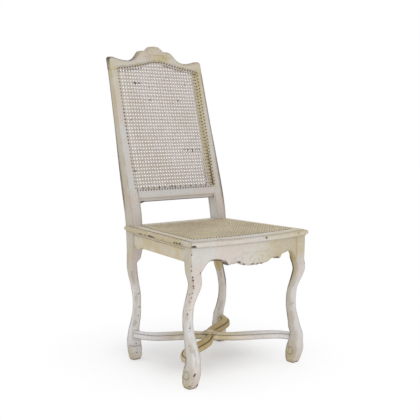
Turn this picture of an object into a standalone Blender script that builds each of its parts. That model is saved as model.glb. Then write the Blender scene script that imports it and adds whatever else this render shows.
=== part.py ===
# Cane side chair with scrolled legs, a crossed stretcher and caned seat and back.
# Metres, +Z up, the front faces -Y. The origin lies on the floor under the middle of the chair.

import math

import bmesh
import bpy
from mathutils import Matrix, Vector

# Overall sizes
SEAT_HEIGHT = 0.460
SEAT_FRAME_THICKNESS = 0.0205
SEAT_DEPTH = 0.425
SEAT_FRONT_BOW = 0.026
SEAT_FRONT_WIDTH = 0.506
SEAT_REAR_WIDTH = 0.424
SEAT_SIDE_BOW = 0.005
SEAT_CORNER_RADIUS = 0.014

# Clearances and overruns
CLEARANCE = 0.0003
CUT_OVERRUN = 0.004
WELD_DISTANCE = 0.00001

# Seat frame
SIDE_BORDER = 0.048
FRONT_BORDER = 0.056
REAR_BORDER = 0.060
EDGE_ROUND = 0.007
BORDER_GROOVE_INSET = 0.014
BORDER_GROOVE_WIDTH = 0.004
BORDER_GROOVE_DEPTH = 0.0016
INNER_CORNER_RADIUS = 0.004

# Front legs
FRONT_LEG_INSET = 0.0295
FRONT_LEG_SETBACK = 0.028
LEG_BLOCK_WIDTH = 0.040
LEG_BLOCK_DEPTH = 0.036
LEG_SWING = 0.024
LEG_EDGE = 0.007

# Rear posts
POST_INSET = 0.007
POST_WIDTH = 0.0375
POST_TOP_WIDTH = 0.032
POST_DEPTH = 0.038
POST_TOP_DEPTH = 0.026
POST_SETBACK = 0.026
POST_EDGE = 0.0045
REAR_LEG_SWING = 0.026
REAR_LEG_WIDTH = 0.029

# Back
BACK_BASE_LEAN = 0.12
BACK_LEAN = 0.278
BACK_BEND = 0.070
BACK_HEIGHT = 0.525
CREST_HEIGHT = 0.0915
CREST_THICKNESS = 0.027
CREST_EDGE = 0.006
OPENING_RISE = 0.027
BACK_RAIL_RISE = 0.077
BACK_RAIL_HEIGHT = 0.047
BACK_RAIL_THICKNESS = 0.026
BACK_RAIL_COVE = 0.014
BACK_RAIL_COVE_DEPTH = 0.006

# Feet
FOOT_HEIGHT = 0.071
FOOT_DEPTH = 0.056
FOOT_WIDTH = 0.038
REAR_FOOT_DEPTH = 0.046
REAR_FOOT_FORWARD = 0.011
FOOT_EDGE = 0.005
FOOT_EYE_RADIUS = 0.010
FOOT_EYE_RAISE = 0.0015
FOOT_EYE_HEIGHT = 0.046

# Aprons
APRON_THICKNESS = 0.024
FRONT_APRON_BOW = 0.024
FRONT_APRON_SETBACK = 0.002
FRONT_APRON_DROP = 0.072
SIDE_APRON_DROP = 0.047
SIDE_APRON_THICKNESS = 0.022
SIDE_APRON_SETBACK = 0.005
REAR_APRON_DROP = 0.047
REAR_APRON_THICKNESS = 0.022
APRON_EDGE = 0.003

# Stretcher
STRETCHER_BOTTOM = 0.078
STRETCHER_BODY_HEIGHT = 0.016
STRETCHER_BEAD_HEIGHT = 0.006
STRETCHER_WIDTH = 0.046
STRETCHER_BEAD_WIDTH = 0.028
STRETCHER_EDGE = 0.004
STRETCHER_GROOVE = 0.0022
STRETCHER_CENTRE_SHARE = 0.4988
LEG_SEAT_MARGIN = 0.004
BOSS_RADIUS = 0.024
BOSS_HEIGHT = 0.008
BOSS_PIN_RADIUS = 0.006
BOSS_PIN_LENGTH = 0.010

# Joints
TENON_THICKNESS = 0.010
TENON_SHOULDER = 0.006
TENON_TOP_SHOULDER = 0.014
SEAT_PEG_DEPTH = 0.010
FRONT_TENON_LENGTH = 0.024
SIDE_TENON_LENGTH = 0.016
FRONT_TENON_FORWARD = 0.008
REAR_TENON_LENGTH = 0.022
REAR_TENON_BACK = 0.006
BACK_RAIL_TENON_LENGTH = 0.024
STRETCHER_TENON_LENGTH = 0.014
STRETCHER_TENON_WIDTH = 0.012
STRETCHER_TENON_HEIGHT = 0.012
POST_TENON_LENGTH = 0.026
POST_TENON_WIDTH = 0.018
SEAT_RAIL_TENON_LENGTH = 0.012
SEAT_RAIL_TENON_THICKNESS = 0.008
PEG_RADIUS = 0.003
PEG_PROUD = 0.0006
PEG_SIDES = 8
SEAT_PEG_SHARE = 0.25
REAR_PEG_SHARE = 0.6
REAR_PEG_STOP = 0.0012
FRONT_PEG_RUN = 0.019
SIDE_PEG_RUN = 0.021
BACK_PEG_RUN = 0.021
BLOCK_LEG = 0.034
BLOCK_HEIGHT = 0.030

# Cane panels
CANE_THICKNESS = 0.0020
CANE_REBATE = 0.0024
CANE_SEAT_INSET = 0.0065
CANE_EDGE_GAP = 0.0008
BACK_GAPS_ACROSS = 9
BACK_GAPS_UP = 12
SEAT_GAPS_ACROSS = 10
SEAT_GAPS_DEEP = 9
STRAND_SHARE = 0.34
RIM_SHARE = 0.75

# Step counts of the curved shapes
BEND_STEPS = 4
FRONT_STEPS = 6
SIDE_STEPS = 6
ARC_STEPS = 4
EYE_SIDES = 16
BOSS_SIDES = 24
BACK_SLAB_STEPS = 16
SEAT_SLAB_STEPS = 10
HALVING_STATIONS = 6

# Derived places
CREST_JOINT_HEIGHT = SEAT_HEIGHT + BACK_HEIGHT
BACK_RAIL_BOTTOM = SEAT_HEIGHT + BACK_RAIL_RISE
BACK_RAIL_TOP = BACK_RAIL_BOTTOM + BACK_RAIL_HEIGHT
TOP_RISE = BACK_HEIGHT + CREST_HEIGHT - CREST_EDGE
TOP_LEAN = BACK_BEND * (BACK_BASE_LEAN + BACK_LEAN) / 2 + BACK_LEAN * (TOP_RISE - BACK_BEND)
BACK_REACH = TOP_LEAN + CREST_THICKNESS - POST_SETBACK - POST_DEPTH / 2
REAR_EDGE_Y = (SEAT_DEPTH + SEAT_FRONT_BOW - BACK_REACH) / 2
FRAME_BOTTOM = SEAT_HEIGHT - SEAT_FRAME_THICKNESS
FRONT_LEG_X = SEAT_FRONT_WIDTH / 2 - FRONT_LEG_INSET
FRONT_LEG_Y = REAR_EDGE_Y - SEAT_DEPTH + FRONT_LEG_SETBACK
POST_OUTER_X = SEAT_REAR_WIDTH / 2 - POST_INSET
POST_INNER_X = POST_OUTER_X - POST_WIDTH
POST_Y = REAR_EDGE_Y - POST_SETBACK
POST_FRONT_Y = POST_Y - POST_DEPTH / 2
POST_TOP_X = POST_INNER_X + POST_TOP_WIDTH / 2
CREST_WIDTH = 2 * (POST_INNER_X + POST_TOP_WIDTH)
REAR_LEG_X = POST_OUTER_X - REAR_LEG_WIDTH / 2
REAR_FOOT_Y = POST_Y - REAR_FOOT_FORWARD
STRETCHER_TOP = STRETCHER_BOTTOM + STRETCHER_BODY_HEIGHT + STRETCHER_BEAD_HEIGHT
LEG_SEAT_TOP = STRETCHER_TOP + LEG_SEAT_MARGIN
LEG_SEAT_BOTTOM = STRETCHER_BOTTOM - LEG_SEAT_MARGIN
FOOT_TOP = min(FOOT_HEIGHT, LEG_SEAT_BOTTOM - LEG_SEAT_MARGIN / 2)
STRETCHER_CENTRE_Y = REAR_EDGE_Y - SEAT_DEPTH * STRETCHER_CENTRE_SHARE

# Outline shares, chosen by eye from the chair
# Front leg between the block's foot and the stretcher: height, forward swing, width, depth
FRONT_LEG_SHARES = (
    (0.00, 0.29, 0.85, 1.14),
    (0.06, -0.03, 0.83, 1.17),
    (0.13, -0.27, 0.80, 1.07),
    (0.22, -0.61, 0.75, 0.99),
    (0.31, -0.88, 0.73, 0.95),
    (0.40, -0.96, 0.73, 0.92),
    (0.49, -0.91, 0.74, 0.87),
    (0.58, -0.70, 0.74, 0.83),
    (0.67, -0.28, 0.78, 0.83),
    (0.76, 0.18, 0.85, 0.87),
    (0.83, 0.42, 0.90, 0.85),
    (0.90, 0.29, 0.95, 0.87),
    (0.96, 0.04, 0.99, 0.95),
    (1.00, 0.00, 1.00, 1.00),
)
BLOCK_BOTTOM_SHARE = 0.845
# Legs are round-edged up to these shares of their height
FRONT_ROUND_SHARE = 0.88
REAR_ROUND_SHARE = 0.72
# Rear leg between the stretcher and the frame: height, forward swing, width, depth
REAR_LEG_SHARES = (
    (0.00, 0.28, 1.06, 0.94),
    (0.06, 0.52, 1.02, 0.85),
    (0.12, 0.77, 1.00, 0.83),
    (0.20, 0.96, 0.97, 0.76),
    (0.29, 1.00, 0.96, 0.73),
    (0.38, 0.86, 0.96, 0.79),
    (0.47, 0.48, 0.97, 0.79),
    (0.56, 0.02, 1.00, 0.83),
    (0.63, -0.17, 1.00, 0.86),
    (0.690, -0.18, 1.02, 0.88),
    (0.705, -0.12, 1.14, 0.93),
    (0.725, -0.03, 1.25, 0.98),
    (0.745, 0.00, 1.293, 1.00),
)
# Scroll foot from the floor up: height, forward place, width, depth
FOOT_SHARES = (
    (0.00, -0.25, 0.80, 0.54),
    (0.09, -0.24, 0.94, 0.65),
    (0.25, -0.20, 1.00, 0.77),
    (0.47, -0.10, 1.00, 0.91),
    (0.70, 0.03, 1.00, 0.97),
    (0.88, 0.12, 0.98, 0.94),
    (1.00, 0.16, 0.94, 0.88),
)
# Crest top edge from the middle out: half-width, height
CREST_TOP_SHARES = (
    (0.000, 1.000), (0.050, 0.993), (0.095, 0.962), (0.135, 0.905), (0.165, 0.835),
    (0.190, 0.812), (0.235, 0.806), (0.295, 0.796), (0.335, 0.762), (0.370, 0.690),
    (0.410, 0.590), (0.455, 0.500), (0.520, 0.425), (0.600, 0.385), (0.680, 0.385),
    (0.770, 0.410), (0.860, 0.452), (0.925, 0.487), (0.965, 0.487), (0.990, 0.450), (1.000, 0.400),
)
# Lower edge of the crest over the cane: half-width of the opening, rise
OPENING_SHARES = (
    (0.00, 1.00), (0.10, 0.985), (0.20, 0.90), (0.32, 0.72), (0.48, 0.50),
    (0.66, 0.31), (0.84, 0.13), (1.00, 0.00),
)
# Front apron lower edge from the middle out: half-length, drop
FRONT_APRON_SHARES = (
    (0.000, 1.000), (0.100, 0.995), (0.180, 0.980), (0.240, 0.950), (0.290, 0.890),
    (0.330, 0.820), (0.370, 0.812), (0.430, 0.845), (0.480, 0.845), (0.515, 0.875),
    (0.545, 0.872), (0.575, 0.770), (0.610, 0.700), (0.660, 0.672), (0.740, 0.632),
    (0.810, 0.625), (0.860, 0.650), (0.900, 0.735), (0.940, 0.870), (0.975, 1.020), (1.000, 1.110),
)
# Stretcher arm from the middle to the leg: way across, way along, width
STRETCHER_SHARES = (
    (0.000, 0.000, 0.60), (0.060, 0.090, 0.62), (0.130, 0.168, 0.68), (0.220, 0.258, 0.80),
    (0.320, 0.330, 0.91), (0.450, 0.410, 1.00), (0.570, 0.480, 1.00), (0.680, 0.550, 0.98),
    (0.780, 0.620, 0.94), (0.860, 0.700, 0.84), (0.930, 0.790, 0.74), (0.975, 0.890, 0.67),
    (1.000, 1.000, 0.65),
)
# Side apron lower edge from the front leg to the rear post: place, drop
SIDE_APRON_SHARES = (
    (0.00, 1.00), (0.40, 1.00), (0.83, 1.00), (0.87, 1.09), (0.91, 1.17),
    (0.95, 1.14), (0.98, 1.00), (1.00, 0.88),
)
# Boss on the crossing of the stretcher: radius, height
BOSS_SHARES = ((1.00, 0.00), (0.98, 0.30), (0.82, 0.55), (0.60, 0.50), (0.46, 0.72), (0.24, 0.96))
# Cove under the lower back rail: height, depth
COVE_SHARES = ((0.0, 1.0), (0.4, 0.8), (0.8, 0.3), (1.0, 0.0))
# Rim of the seat from below: inset and rise, then inset and drop, then the groove's place and depth
UNDER_RIM_SHARES = ((0.90, 0.00), (0.25, 0.30), (0.00, 1.00))
UPPER_RIM_SHARES = ((0.00, 1.00), (0.30, 0.30), (1.00, 0.00))
GROOVE_SHARES = ((0.00, 0.00), (0.30, 1.00), (1.00, 0.30))
REAR_RADIUS_SHARE = 0.5
# Widest rounding of an edge, as a share of the piece across it
EDGE_LIMIT_SHARE = 0.33
CREST_ROUND_SHARE = 0.3
# Round corner in three steps
CORNER_SHARES = ((0.000, 1.000), (0.293, 0.293), (1.000, 0.000))

PARTS = bpy.data.collections.new("cane_chair")
CUTTERS = bpy.data.collections.new("cutters")


def start_scene():
    """Remove whatever the scene holds and add the two collections."""
    for thing in list(bpy.data.objects):
        bpy.data.objects.remove(thing, do_unlink=True)
    bpy.context.scene.collection.children.link(PARTS)
    bpy.context.scene.collection.children.link(CUTTERS)


def paint(name, colour, roughness, metallic):
    """Make a plain surface with a colour, a roughness and a metallic value."""
    material = bpy.data.materials.new(name)
    material.use_nodes = True
    shader = material.node_tree.nodes["Principled BSDF"]
    shader.inputs["Base Color"].default_value = (*colour, 1.0)
    shader.inputs["Roughness"].default_value = roughness
    shader.inputs["Metallic"].default_value = metallic
    return material


def add_object(name, mesh, material=None, cutter=False):
    """Put a mesh in the scene as a part or as a cutter."""
    item = bpy.data.objects.new(name, mesh)
    if cutter:
        CUTTERS.objects.link(item)
        item.hide_render = True
        item.display_type = "WIRE"
    else:
        PARTS.objects.link(item)
        item.data.materials.append(material)
    return item


def mesh_from(name, shape):
    """Turn a bmesh into a mesh with its faces pointing out."""
    bmesh.ops.recalc_face_normals(shape, faces=shape.faces)
    mesh = bpy.data.meshes.new(name)
    shape.to_mesh(mesh)
    shape.free()
    return mesh


def loft(name, rings, material=None, cutter=False, smooth=True):
    """Skin a closed body over rings that all have the same number of points."""
    shape = bmesh.new()
    levels = [[shape.verts.new(point) for point in ring] for ring in rings]
    count = len(rings[0])
    for lower, upper in zip(levels, levels[1:]):
        for i in range(count):
            j = (i + 1) % count
            shape.faces.new((lower[i], lower[j], upper[j], upper[i]))
    shape.faces.new(levels[0])
    shape.faces.new(levels[-1])
    item = add_object(name, mesh_from(name, shape), material, cutter)
    if smooth and not cutter:
        shade(item)
    return item


def shade(item, angle=math.radians(40)):
    """Shade a piece smooth, with its sharp edges kept."""
    item.data.shade_smooth()
    item.data.set_sharp_from_angle(angle=angle)


def box(name, low, high, material=None, cutter=False):
    """Make a box between two corners."""
    low, high = Vector(low), Vector(high)
    shape = bmesh.new()
    bmesh.ops.create_cube(shape, size=1)
    size = high - low
    bmesh.ops.scale(shape, vec=size, verts=shape.verts)
    item = add_object(name, mesh_from(name, shape), material, cutter)
    item.location = (low + high) / 2
    return item


def rod(name, start, end, radius, material=None, cutter=False, sides=PEG_SIDES):
    """Make a round rod between two points."""
    start, end = Vector(start), Vector(end)
    shape = bmesh.new()
    length = (end - start).length
    bmesh.ops.create_cone(
        shape, cap_ends=True, segments=sides, radius1=radius, radius2=radius, depth=length
    )
    item = add_object(name, mesh_from(name, shape), material, cutter)
    item.rotation_mode = "QUATERNION"
    item.rotation_quaternion = (end - start).to_track_quat("Z", "Y")
    item.location = (start + end) / 2
    if not cutter:
        shade(item)
    return item


def plate(name, outline, low, high, axis="Z", material=None, cutter=False):
    """Extrude a flat outline between two levels along Z or X."""
    curve = bpy.data.curves.new(name, "CURVE")
    curve.dimensions = "2D"
    curve.fill_mode = "BOTH"
    curve.extrude = (high - low) / 2
    spline = curve.splines.new("POLY")
    spline.points.add(len(outline) - 1)
    for point, (u, v) in zip(spline.points, outline):
        point.co = (u, v, 0.0, 1.0)
    spline.use_cyclic_u = True
    holder = bpy.data.objects.new(name + "_outline", curve)
    CUTTERS.objects.link(holder)
    middle = (low + high) / 2
    if axis == "Z":
        holder.matrix_world = Matrix.Translation((0.0, 0.0, middle))
    else:
        turn = Matrix(((0.0, 0.0, 1.0), (1.0, 0.0, 0.0), (0.0, 1.0, 0.0)))
        holder.matrix_world = Matrix.Translation((middle, 0.0, 0.0)) @ turn.to_4x4()
    bpy.context.view_layer.update()
    ready = holder.evaluated_get(bpy.context.evaluated_depsgraph_get())
    mesh = bpy.data.meshes.new_from_object(ready)
    place = holder.matrix_world.copy()
    bpy.data.objects.remove(holder, do_unlink=True)
    shape = bmesh.new()
    shape.from_mesh(mesh)
    bmesh.ops.remove_doubles(shape, verts=shape.verts, dist=WELD_DISTANCE)
    bpy.data.meshes.remove(mesh)
    item = add_object(name, mesh_from(name, shape), material, cutter)
    item.matrix_world = place
    return item


def combine(item, tool, operation):
    """Add a Boolean with a hidden tool to a piece."""
    step = item.modifiers.new(operation.lower() + "_" + tool.name, "BOOLEAN")
    step.operation = operation
    step.solver = "EXACT"
    step.object = tool
    return step


def cut(item, *tools):
    """Take every tool away from a piece."""
    for tool in tools:
        combine(item, tool, "DIFFERENCE")


def join(item, *tools):
    """Add every tool to a piece as one body."""
    for tool in tools:
        combine(item, tool, "UNION")


def corner_ring(centre, width, depth, edge, height, shear=0.0):
    """List the points of a rounded rectangle in a level plane."""
    cx, cy = centre
    edge = min(edge, width * EDGE_LIMIT_SHARE, depth * EDGE_LIMIT_SHARE)
    points = []
    for sx, sy in ((1, 1), (-1, 1), (-1, -1), (1, -1)):
        steps = CORNER_SHARES if sx * sy > 0 else tuple(reversed(CORNER_SHARES))
        for across, along in steps:
            x = cx + sx * (width / 2 - edge * across)
            y = cy + sy * (depth / 2 - edge * along)
            points.append((x, y, height + shear * (y - cy)))
    return points


def follow(shares, position):
    """Read a table of shares at a position, with straight steps."""
    for (a, low), (b, high) in zip(shares, shares[1:]):
        if position <= b:
            return low + (high - low) * (position - a) / (b - a)
    return shares[-1][1]


def both_sides(shares):
    """List the positions of a half table on both sides of the middle."""
    right = [share[0] for share in shares]
    return [-value for value in reversed(right[1:])] + right


def back_front_y(height):
    """Front face of the back at a height: it bends back just above the seat and is straight above."""
    rise = max(height - SEAT_HEIGHT, 0.0)
    bend = min(rise, BACK_BEND)
    turn = (BACK_LEAN - BACK_BASE_LEAN) * bend * bend / (2 * BACK_BEND)
    return POST_FRONT_Y + BACK_BASE_LEAN * bend + turn + BACK_LEAN * (rise - bend)


def foot_rings(x, y, direction, depth):
    """Rings of a scroll foot from the floor to its neck."""
    rings = []
    for up, forward, width, deep in FOOT_SHARES:
        place = (x, y - direction * forward * depth / 2)
        rings.append(corner_ring(place, FOOT_WIDTH * width, depth * deep, FOOT_EDGE, FOOT_TOP * up))
    return rings


def foot_eye(name, x, y):
    """Raised eye of the scroll, a short rod right through the foot."""
    reach = FOOT_WIDTH / 2 + FOOT_EYE_RAISE
    return rod(
        name, (x - reach, y, FOOT_EYE_HEIGHT), (x + reach, y, FOOT_EYE_HEIGHT), FOOT_EYE_RADIUS,
        cutter=True, sides=EYE_SIDES,
    )


def front_leg(name, side, material):
    """Front leg: a block at the frame, a knee, an ankle and a scroll foot."""
    x = side * FRONT_LEG_X
    low, high = LEG_SEAT_TOP, FRAME_BOTTOM * BLOCK_BOTTOM_SHARE
    rings = foot_rings(x, FRONT_LEG_Y, 1, FOOT_DEPTH)
    stations = [(LEG_SEAT_BOTTOM, FRONT_LEG_SHARES[0])]
    stations += [(low + (high - low) * row[0], row) for row in FRONT_LEG_SHARES]
    for height, (up, forward, width, depth) in stations:
        place = (x, FRONT_LEG_Y - forward * LEG_SWING)
        edge = LEG_EDGE if up < FRONT_ROUND_SHARE else APRON_EDGE
        rings.append(corner_ring(place, LEG_BLOCK_WIDTH * width, LEG_BLOCK_DEPTH * depth, edge, height))
    top = FRAME_BOTTOM - CLEARANCE
    rings.append(corner_ring((x, FRONT_LEG_Y), LEG_BLOCK_WIDTH, LEG_BLOCK_DEPTH, APRON_EDGE, top))
    leg = loft(name, rings, material)
    join(leg, foot_eye(name + "_eye", x, FRONT_LEG_Y))
    return leg


def rear_post(name, side, material):
    """Rear post: scroll foot, bent leg, block at the frame and the upright of the back."""
    leg_x = side * REAR_LEG_X
    rings = foot_rings(leg_x, REAR_FOOT_Y, -1, REAR_FOOT_DEPTH)
    span = FRAME_BOTTOM - LEG_SEAT_TOP
    stations = [(LEG_SEAT_BOTTOM, REAR_LEG_SHARES[0])]
    stations += [(LEG_SEAT_TOP + span * row[0], row) for row in REAR_LEG_SHARES]
    for height, (up, forward, width, depth) in stations:
        wide = min(REAR_LEG_WIDTH * width, POST_WIDTH)
        place = (side * (POST_OUTER_X - wide / 2), POST_Y - forward * REAR_LEG_SWING)
        edge = LEG_EDGE if up < REAR_ROUND_SHARE else POST_EDGE
        rings.append(corner_ring(place, wide, POST_DEPTH * depth, edge, height))
    top = CREST_JOINT_HEIGHT - CLEARANCE
    heights = [FRAME_BOTTOM] + [SEAT_HEIGHT + BACK_BEND * i / BEND_STEPS for i in range(BEND_STEPS + 1)]
    for height in heights + [top]:
        share = max(height - SEAT_HEIGHT, 0.0) / (top - SEAT_HEIGHT)
        wide = POST_WIDTH + (POST_TOP_WIDTH - POST_WIDTH) * share
        depth = POST_DEPTH + (POST_TOP_DEPTH - POST_DEPTH) * share
        place = (side * (POST_INNER_X + wide / 2), back_front_y(height) + depth / 2)
        rings.append(corner_ring(place, wide, depth, POST_EDGE, height))
    post = loft(name, rings, material)
    join(post, foot_eye(name + "_eye", leg_x, REAR_FOOT_Y))
    return post


def post_tenon(name, side, gap):
    """Tongue on top of a post, leaning with the back, grown by a gap on every side."""
    x = side * POST_TOP_X
    corners = ((1, 1), (-1, 1), (-1, -1), (1, -1))
    rings = []
    for height in (CREST_JOINT_HEIGHT - CUT_OVERRUN, CREST_JOINT_HEIGHT + POST_TENON_LENGTH + gap):
        y = back_front_y(height) + POST_TOP_DEPTH / 2
        half_x = POST_TENON_WIDTH / 2 + gap
        half_y = TENON_THICKNESS / 2 + gap
        rings.append([(x + i * half_x, y + j * half_y, height) for i, j in corners])
    return loft(name, rings, cutter=True)


def crest_top(x):
    """Height of the crest's top edge at a place across the chair."""
    return CREST_JOINT_HEIGHT + CREST_HEIGHT * follow(CREST_TOP_SHARES, abs(x) / (CREST_WIDTH / 2))


def opening_top(x):
    """Height of the opening's upper edge at a place across the chair."""
    return CREST_JOINT_HEIGHT + OPENING_RISE * follow(OPENING_SHARES, min(abs(x) / POST_INNER_X, 1.0))


def crest_rail(name, material):
    """Crest rail: arched over the cane, with ears, dips, shoulders and a raised middle."""
    half = CREST_WIDTH / 2
    round_off = CREST_EDGE * CREST_ROUND_SHARE
    places = sorted(
        {round(share * half, 5) for share in both_sides(CREST_TOP_SHARES)}
        | {round(side * POST_INNER_X, 5) for side in (-1, 1)}
    )
    rings = []
    for x in places:
        low, high = opening_top(x), crest_top(x)
        front = ((low, 0.0), (high - CREST_EDGE, 0.0), (high - round_off, round_off))
        rear = (
            (high, CREST_EDGE), (high, CREST_THICKNESS - CREST_EDGE),
            (high - CREST_EDGE, CREST_THICKNESS), (low, CREST_THICKNESS),
        )
        rings.append([(x, back_front_y(z) + depth, z) for z, depth in front + rear])
    return loft(name, rings, material)


def lower_back_rail(name, material):
    """Lower rail of the back: a straight moulding with a cove along its lower edge."""
    profile = [
        (BACK_RAIL_BOTTOM + BACK_RAIL_COVE * up, BACK_RAIL_COVE_DEPTH * deep) for up, deep in COVE_SHARES
    ]
    profile += [
        (BACK_RAIL_TOP, 0.0), (BACK_RAIL_TOP, BACK_RAIL_THICKNESS), (BACK_RAIL_BOTTOM, BACK_RAIL_THICKNESS),
    ]
    ends = (-POST_INNER_X + CLEARANCE, POST_INNER_X - CLEARANCE)
    rings = [[(x, back_front_y(z) + depth, z) for z, depth in profile] for x in ends]
    return loft(name, rings, material)


def back_rail_tenon(name, side, gap):
    """Tongue on an end of the lower back rail, grown by a gap."""
    rings = []
    near = side * (POST_INNER_X - CUT_OVERRUN)
    far = side * (POST_INNER_X + BACK_RAIL_TENON_LENGTH + gap)
    low = BACK_RAIL_BOTTOM + TENON_SHOULDER - gap
    high = BACK_RAIL_TOP - TENON_SHOULDER + gap
    for x in (near, far):
        ring = []
        for z, part in ((low, -1), (high, -1), (high, 1), (low, 1)):
            y = back_front_y(z) + BACK_RAIL_THICKNESS / 2 + part * (TENON_THICKNESS / 2 + gap)
            ring.append((x, y, z))
        rings.append(ring)
    return loft(name, rings, cutter=True)


def front_edge_y(x, setback=0.0, bow=SEAT_FRONT_BOW, half=SEAT_FRONT_WIDTH / 2):
    """Bowed front line of the seat at a place across the chair."""
    share = min(abs(x) / half, 1.0)
    return REAR_EDGE_Y - SEAT_DEPTH + setback - bow * (1 - share * share)


def side_edge_x(y, inset=0.0):
    """Half-width of the seat at a place along the chair."""
    share = min(max((REAR_EDGE_Y - y) / SEAT_DEPTH, 0.0), 1.0)
    half = SEAT_REAR_WIDTH / 2 + (SEAT_FRONT_WIDTH - SEAT_REAR_WIDTH) / 2 * share
    return half + SEAT_SIDE_BOW * (1 - (2 * share - 1) ** 2) - inset


def seat_corner(side_inset=0.0, front_inset=0.0):
    """Front right corner of the seat's edge, or of a line inside it, before it is rounded."""
    x = side_edge_x(REAR_EDGE_Y - SEAT_DEPTH + front_inset, side_inset)
    return x, front_edge_y(x, front_inset)


def bend(start, corner, end):
    """List the points of a round corner after its start."""
    start, corner, end = Vector(start), Vector(corner), Vector(end)
    points = []
    for i in range(1, ARC_STEPS + 1):
        t = i / ARC_STEPS
        points.append(tuple(start * (1 - t) ** 2 + corner * 2 * t * (1 - t) + end * t ** 2))
    return points


def seat_outline(side_inset, front_inset, rear_inset, radius):
    """Plan of the seat's edge, or of a line inside it, with round corners; one half mirrored."""
    rear_y = REAR_EDGE_Y - rear_inset
    rear_radius = radius * REAR_RADIUS_SHARE
    corner_x, corner_y = seat_corner(side_inset, front_inset)
    half = []
    for i in range(FRONT_STEPS + 1):
        x = (corner_x - radius) * i / FRONT_STEPS
        half.append((x, front_edge_y(x, front_inset)))
    end_y = corner_y + radius
    half += bend(half[-1], (corner_x, corner_y), (side_edge_x(end_y, side_inset), end_y))
    for i in range(1, SIDE_STEPS + 1):
        y = end_y + (rear_y - rear_radius - end_y) * i / SIDE_STEPS
        half.append((side_edge_x(y, side_inset), y))
    corner_x = side_edge_x(rear_y, side_inset)
    half += bend(half[-1], (corner_x, rear_y), (corner_x - rear_radius, rear_y))
    half.append((0.0, rear_y))
    mirrored = [(-x, y) for x, y in reversed(half[1:-1])]
    return half + mirrored


def seat_frame_ring(name):
    """Whole moulded seat frame as one ring: the four rails are cut from it."""
    outer = seat_outline(0.0, 0.0, 0.0, SEAT_CORNER_RADIUS)
    inner = seat_outline(SIDE_BORDER, FRONT_BORDER, REAR_BORDER, INNER_CORNER_RADIUS)
    low, high = FRAME_BOTTOM, SEAT_HEIGHT
    edge = EDGE_ROUND
    groove = BORDER_GROOVE_INSET
    rings = []
    for (ox, oy), (ix, iy) in zip(outer, inner):
        rim = Vector((ox, oy))
        way = Vector((ix, iy)) - rim
        width = way.length
        way = way / width
        profile = [(edge * along, low + edge * rise) for along, rise in UNDER_RIM_SHARES]
        profile += [(edge * along, high - edge * drop) for along, drop in UPPER_RIM_SHARES]
        profile += [
            (groove + BORDER_GROOVE_WIDTH * along, high - BORDER_GROOVE_DEPTH * drop)
            for along, drop in GROOVE_SHARES
        ]
        profile += [(width, high), (width, low)]
        ring = []
        for inset, z in profile:
            place = rim + way * min(inset, width)
            ring.append((place.x, place.y, z))
        rings.append(ring)
    shape = bmesh.new()
    levels = [[shape.verts.new(point) for point in ring] for ring in rings]
    count = len(levels[0])
    for k, lower in enumerate(levels):
        upper = levels[(k + 1) % len(levels)]
        for i in range(count):
            j = (i + 1) % count
            shape.faces.new((lower[i], lower[j], upper[j], upper[i]))
    bmesh.ops.triangulate(shape, faces=shape.faces)
    return mesh_from(name, shape)


def seat_rails(material):
    """Front, rear and side rails of the seat frame, mitred in front and notched round the posts."""
    ring = seat_frame_ring("seat_frame_ring")
    low, high = FRAME_BOTTOM - CUT_OVERRUN, SEAT_HEIGHT + CUT_OVERRUN
    reach = SEAT_FRONT_WIDTH + SEAT_DEPTH
    inner = Vector(seat_corner(SIDE_BORDER, FRONT_BORDER))
    mitre = (Vector(seat_corner()) - inner).normalized()
    apex = inner - mitre * inner.x / mitre.x
    gap = CLEARANCE / 2
    normal = Vector((-mitre.y, mitre.x))
    rear_line = POST_INNER_X - CLEARANCE
    rear_front = REAR_EDGE_Y - REAR_BORDER - CUT_OVERRUN

    def right_side(point):
        return point + mitre * reach

    front_apex = apex - normal * gap / abs(normal.y)
    side_apex = apex + normal * gap / abs(normal.y)
    front = [
        (0.0, front_apex.y), tuple(right_side(front_apex)),
        (-right_side(front_apex).x, right_side(front_apex).y),
    ]
    rails = {}
    pieces = {"seat_rail_front": front}
    rear_back = REAR_EDGE_Y + CUT_OVERRUN
    pieces["seat_rail_rear"] = [
        (-rear_line, rear_front), (rear_line, rear_front),
        (rear_line, rear_back), (-rear_line, rear_back),
    ]
    for label, side in (("left", -1), ("right", 1)):
        start_x = POST_INNER_X
        low_point = side_apex + mitre * (start_x / mitre.x)
        outline = [
            (side * start_x, low_point.y), (side * right_side(side_apex).x, right_side(side_apex).y),
            (side * right_side(side_apex).x, rear_back), (side * start_x, rear_back),
        ]
        pieces["seat_rail_" + label] = outline
    for name, outline in pieces.items():
        rail = add_object(name, ring.copy(), material)
        keep = plate(name + "_keep", outline, low, high, cutter=True)
        combine(rail, keep, "INTERSECT")
        rails[name] = rail
    return rails


def apron(name, stations, material):
    """Apron over stations of (point on its face, outward direction, lower edge, thickness)."""
    rings = []
    for face, outward, low, thickness in stations:
        face, outward = Vector(face), Vector(outward)
        high = FRAME_BOTTOM - CLEARANCE
        edge = APRON_EDGE
        profile = (
            (0.0, low + edge), (0.0, high), (thickness, high), (thickness, low), (edge, low),
        )
        rings.append([(*(face - outward * depth), z) for depth, z in profile])
    return loft(name, rings, material)


def front_apron(name, material):
    """Shaped front apron, bowed with the seat, between the front legs."""
    half = FRONT_LEG_X - LEG_BLOCK_WIDTH / 2 - CLEARANCE
    face = FRONT_LEG_Y - LEG_BLOCK_DEPTH / 2 + FRONT_APRON_SETBACK
    stations = []
    for share in both_sides(FRONT_APRON_SHARES):
        x = share * half
        drop = FRONT_APRON_DROP * follow(FRONT_APRON_SHARES, abs(share))
        y = face - FRONT_APRON_BOW * (1 - share * share)
        stations.append(((x, y), (0.0, -1.0), FRAME_BOTTOM - drop, APRON_THICKNESS))
    return apron(name, stations, material)


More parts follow.
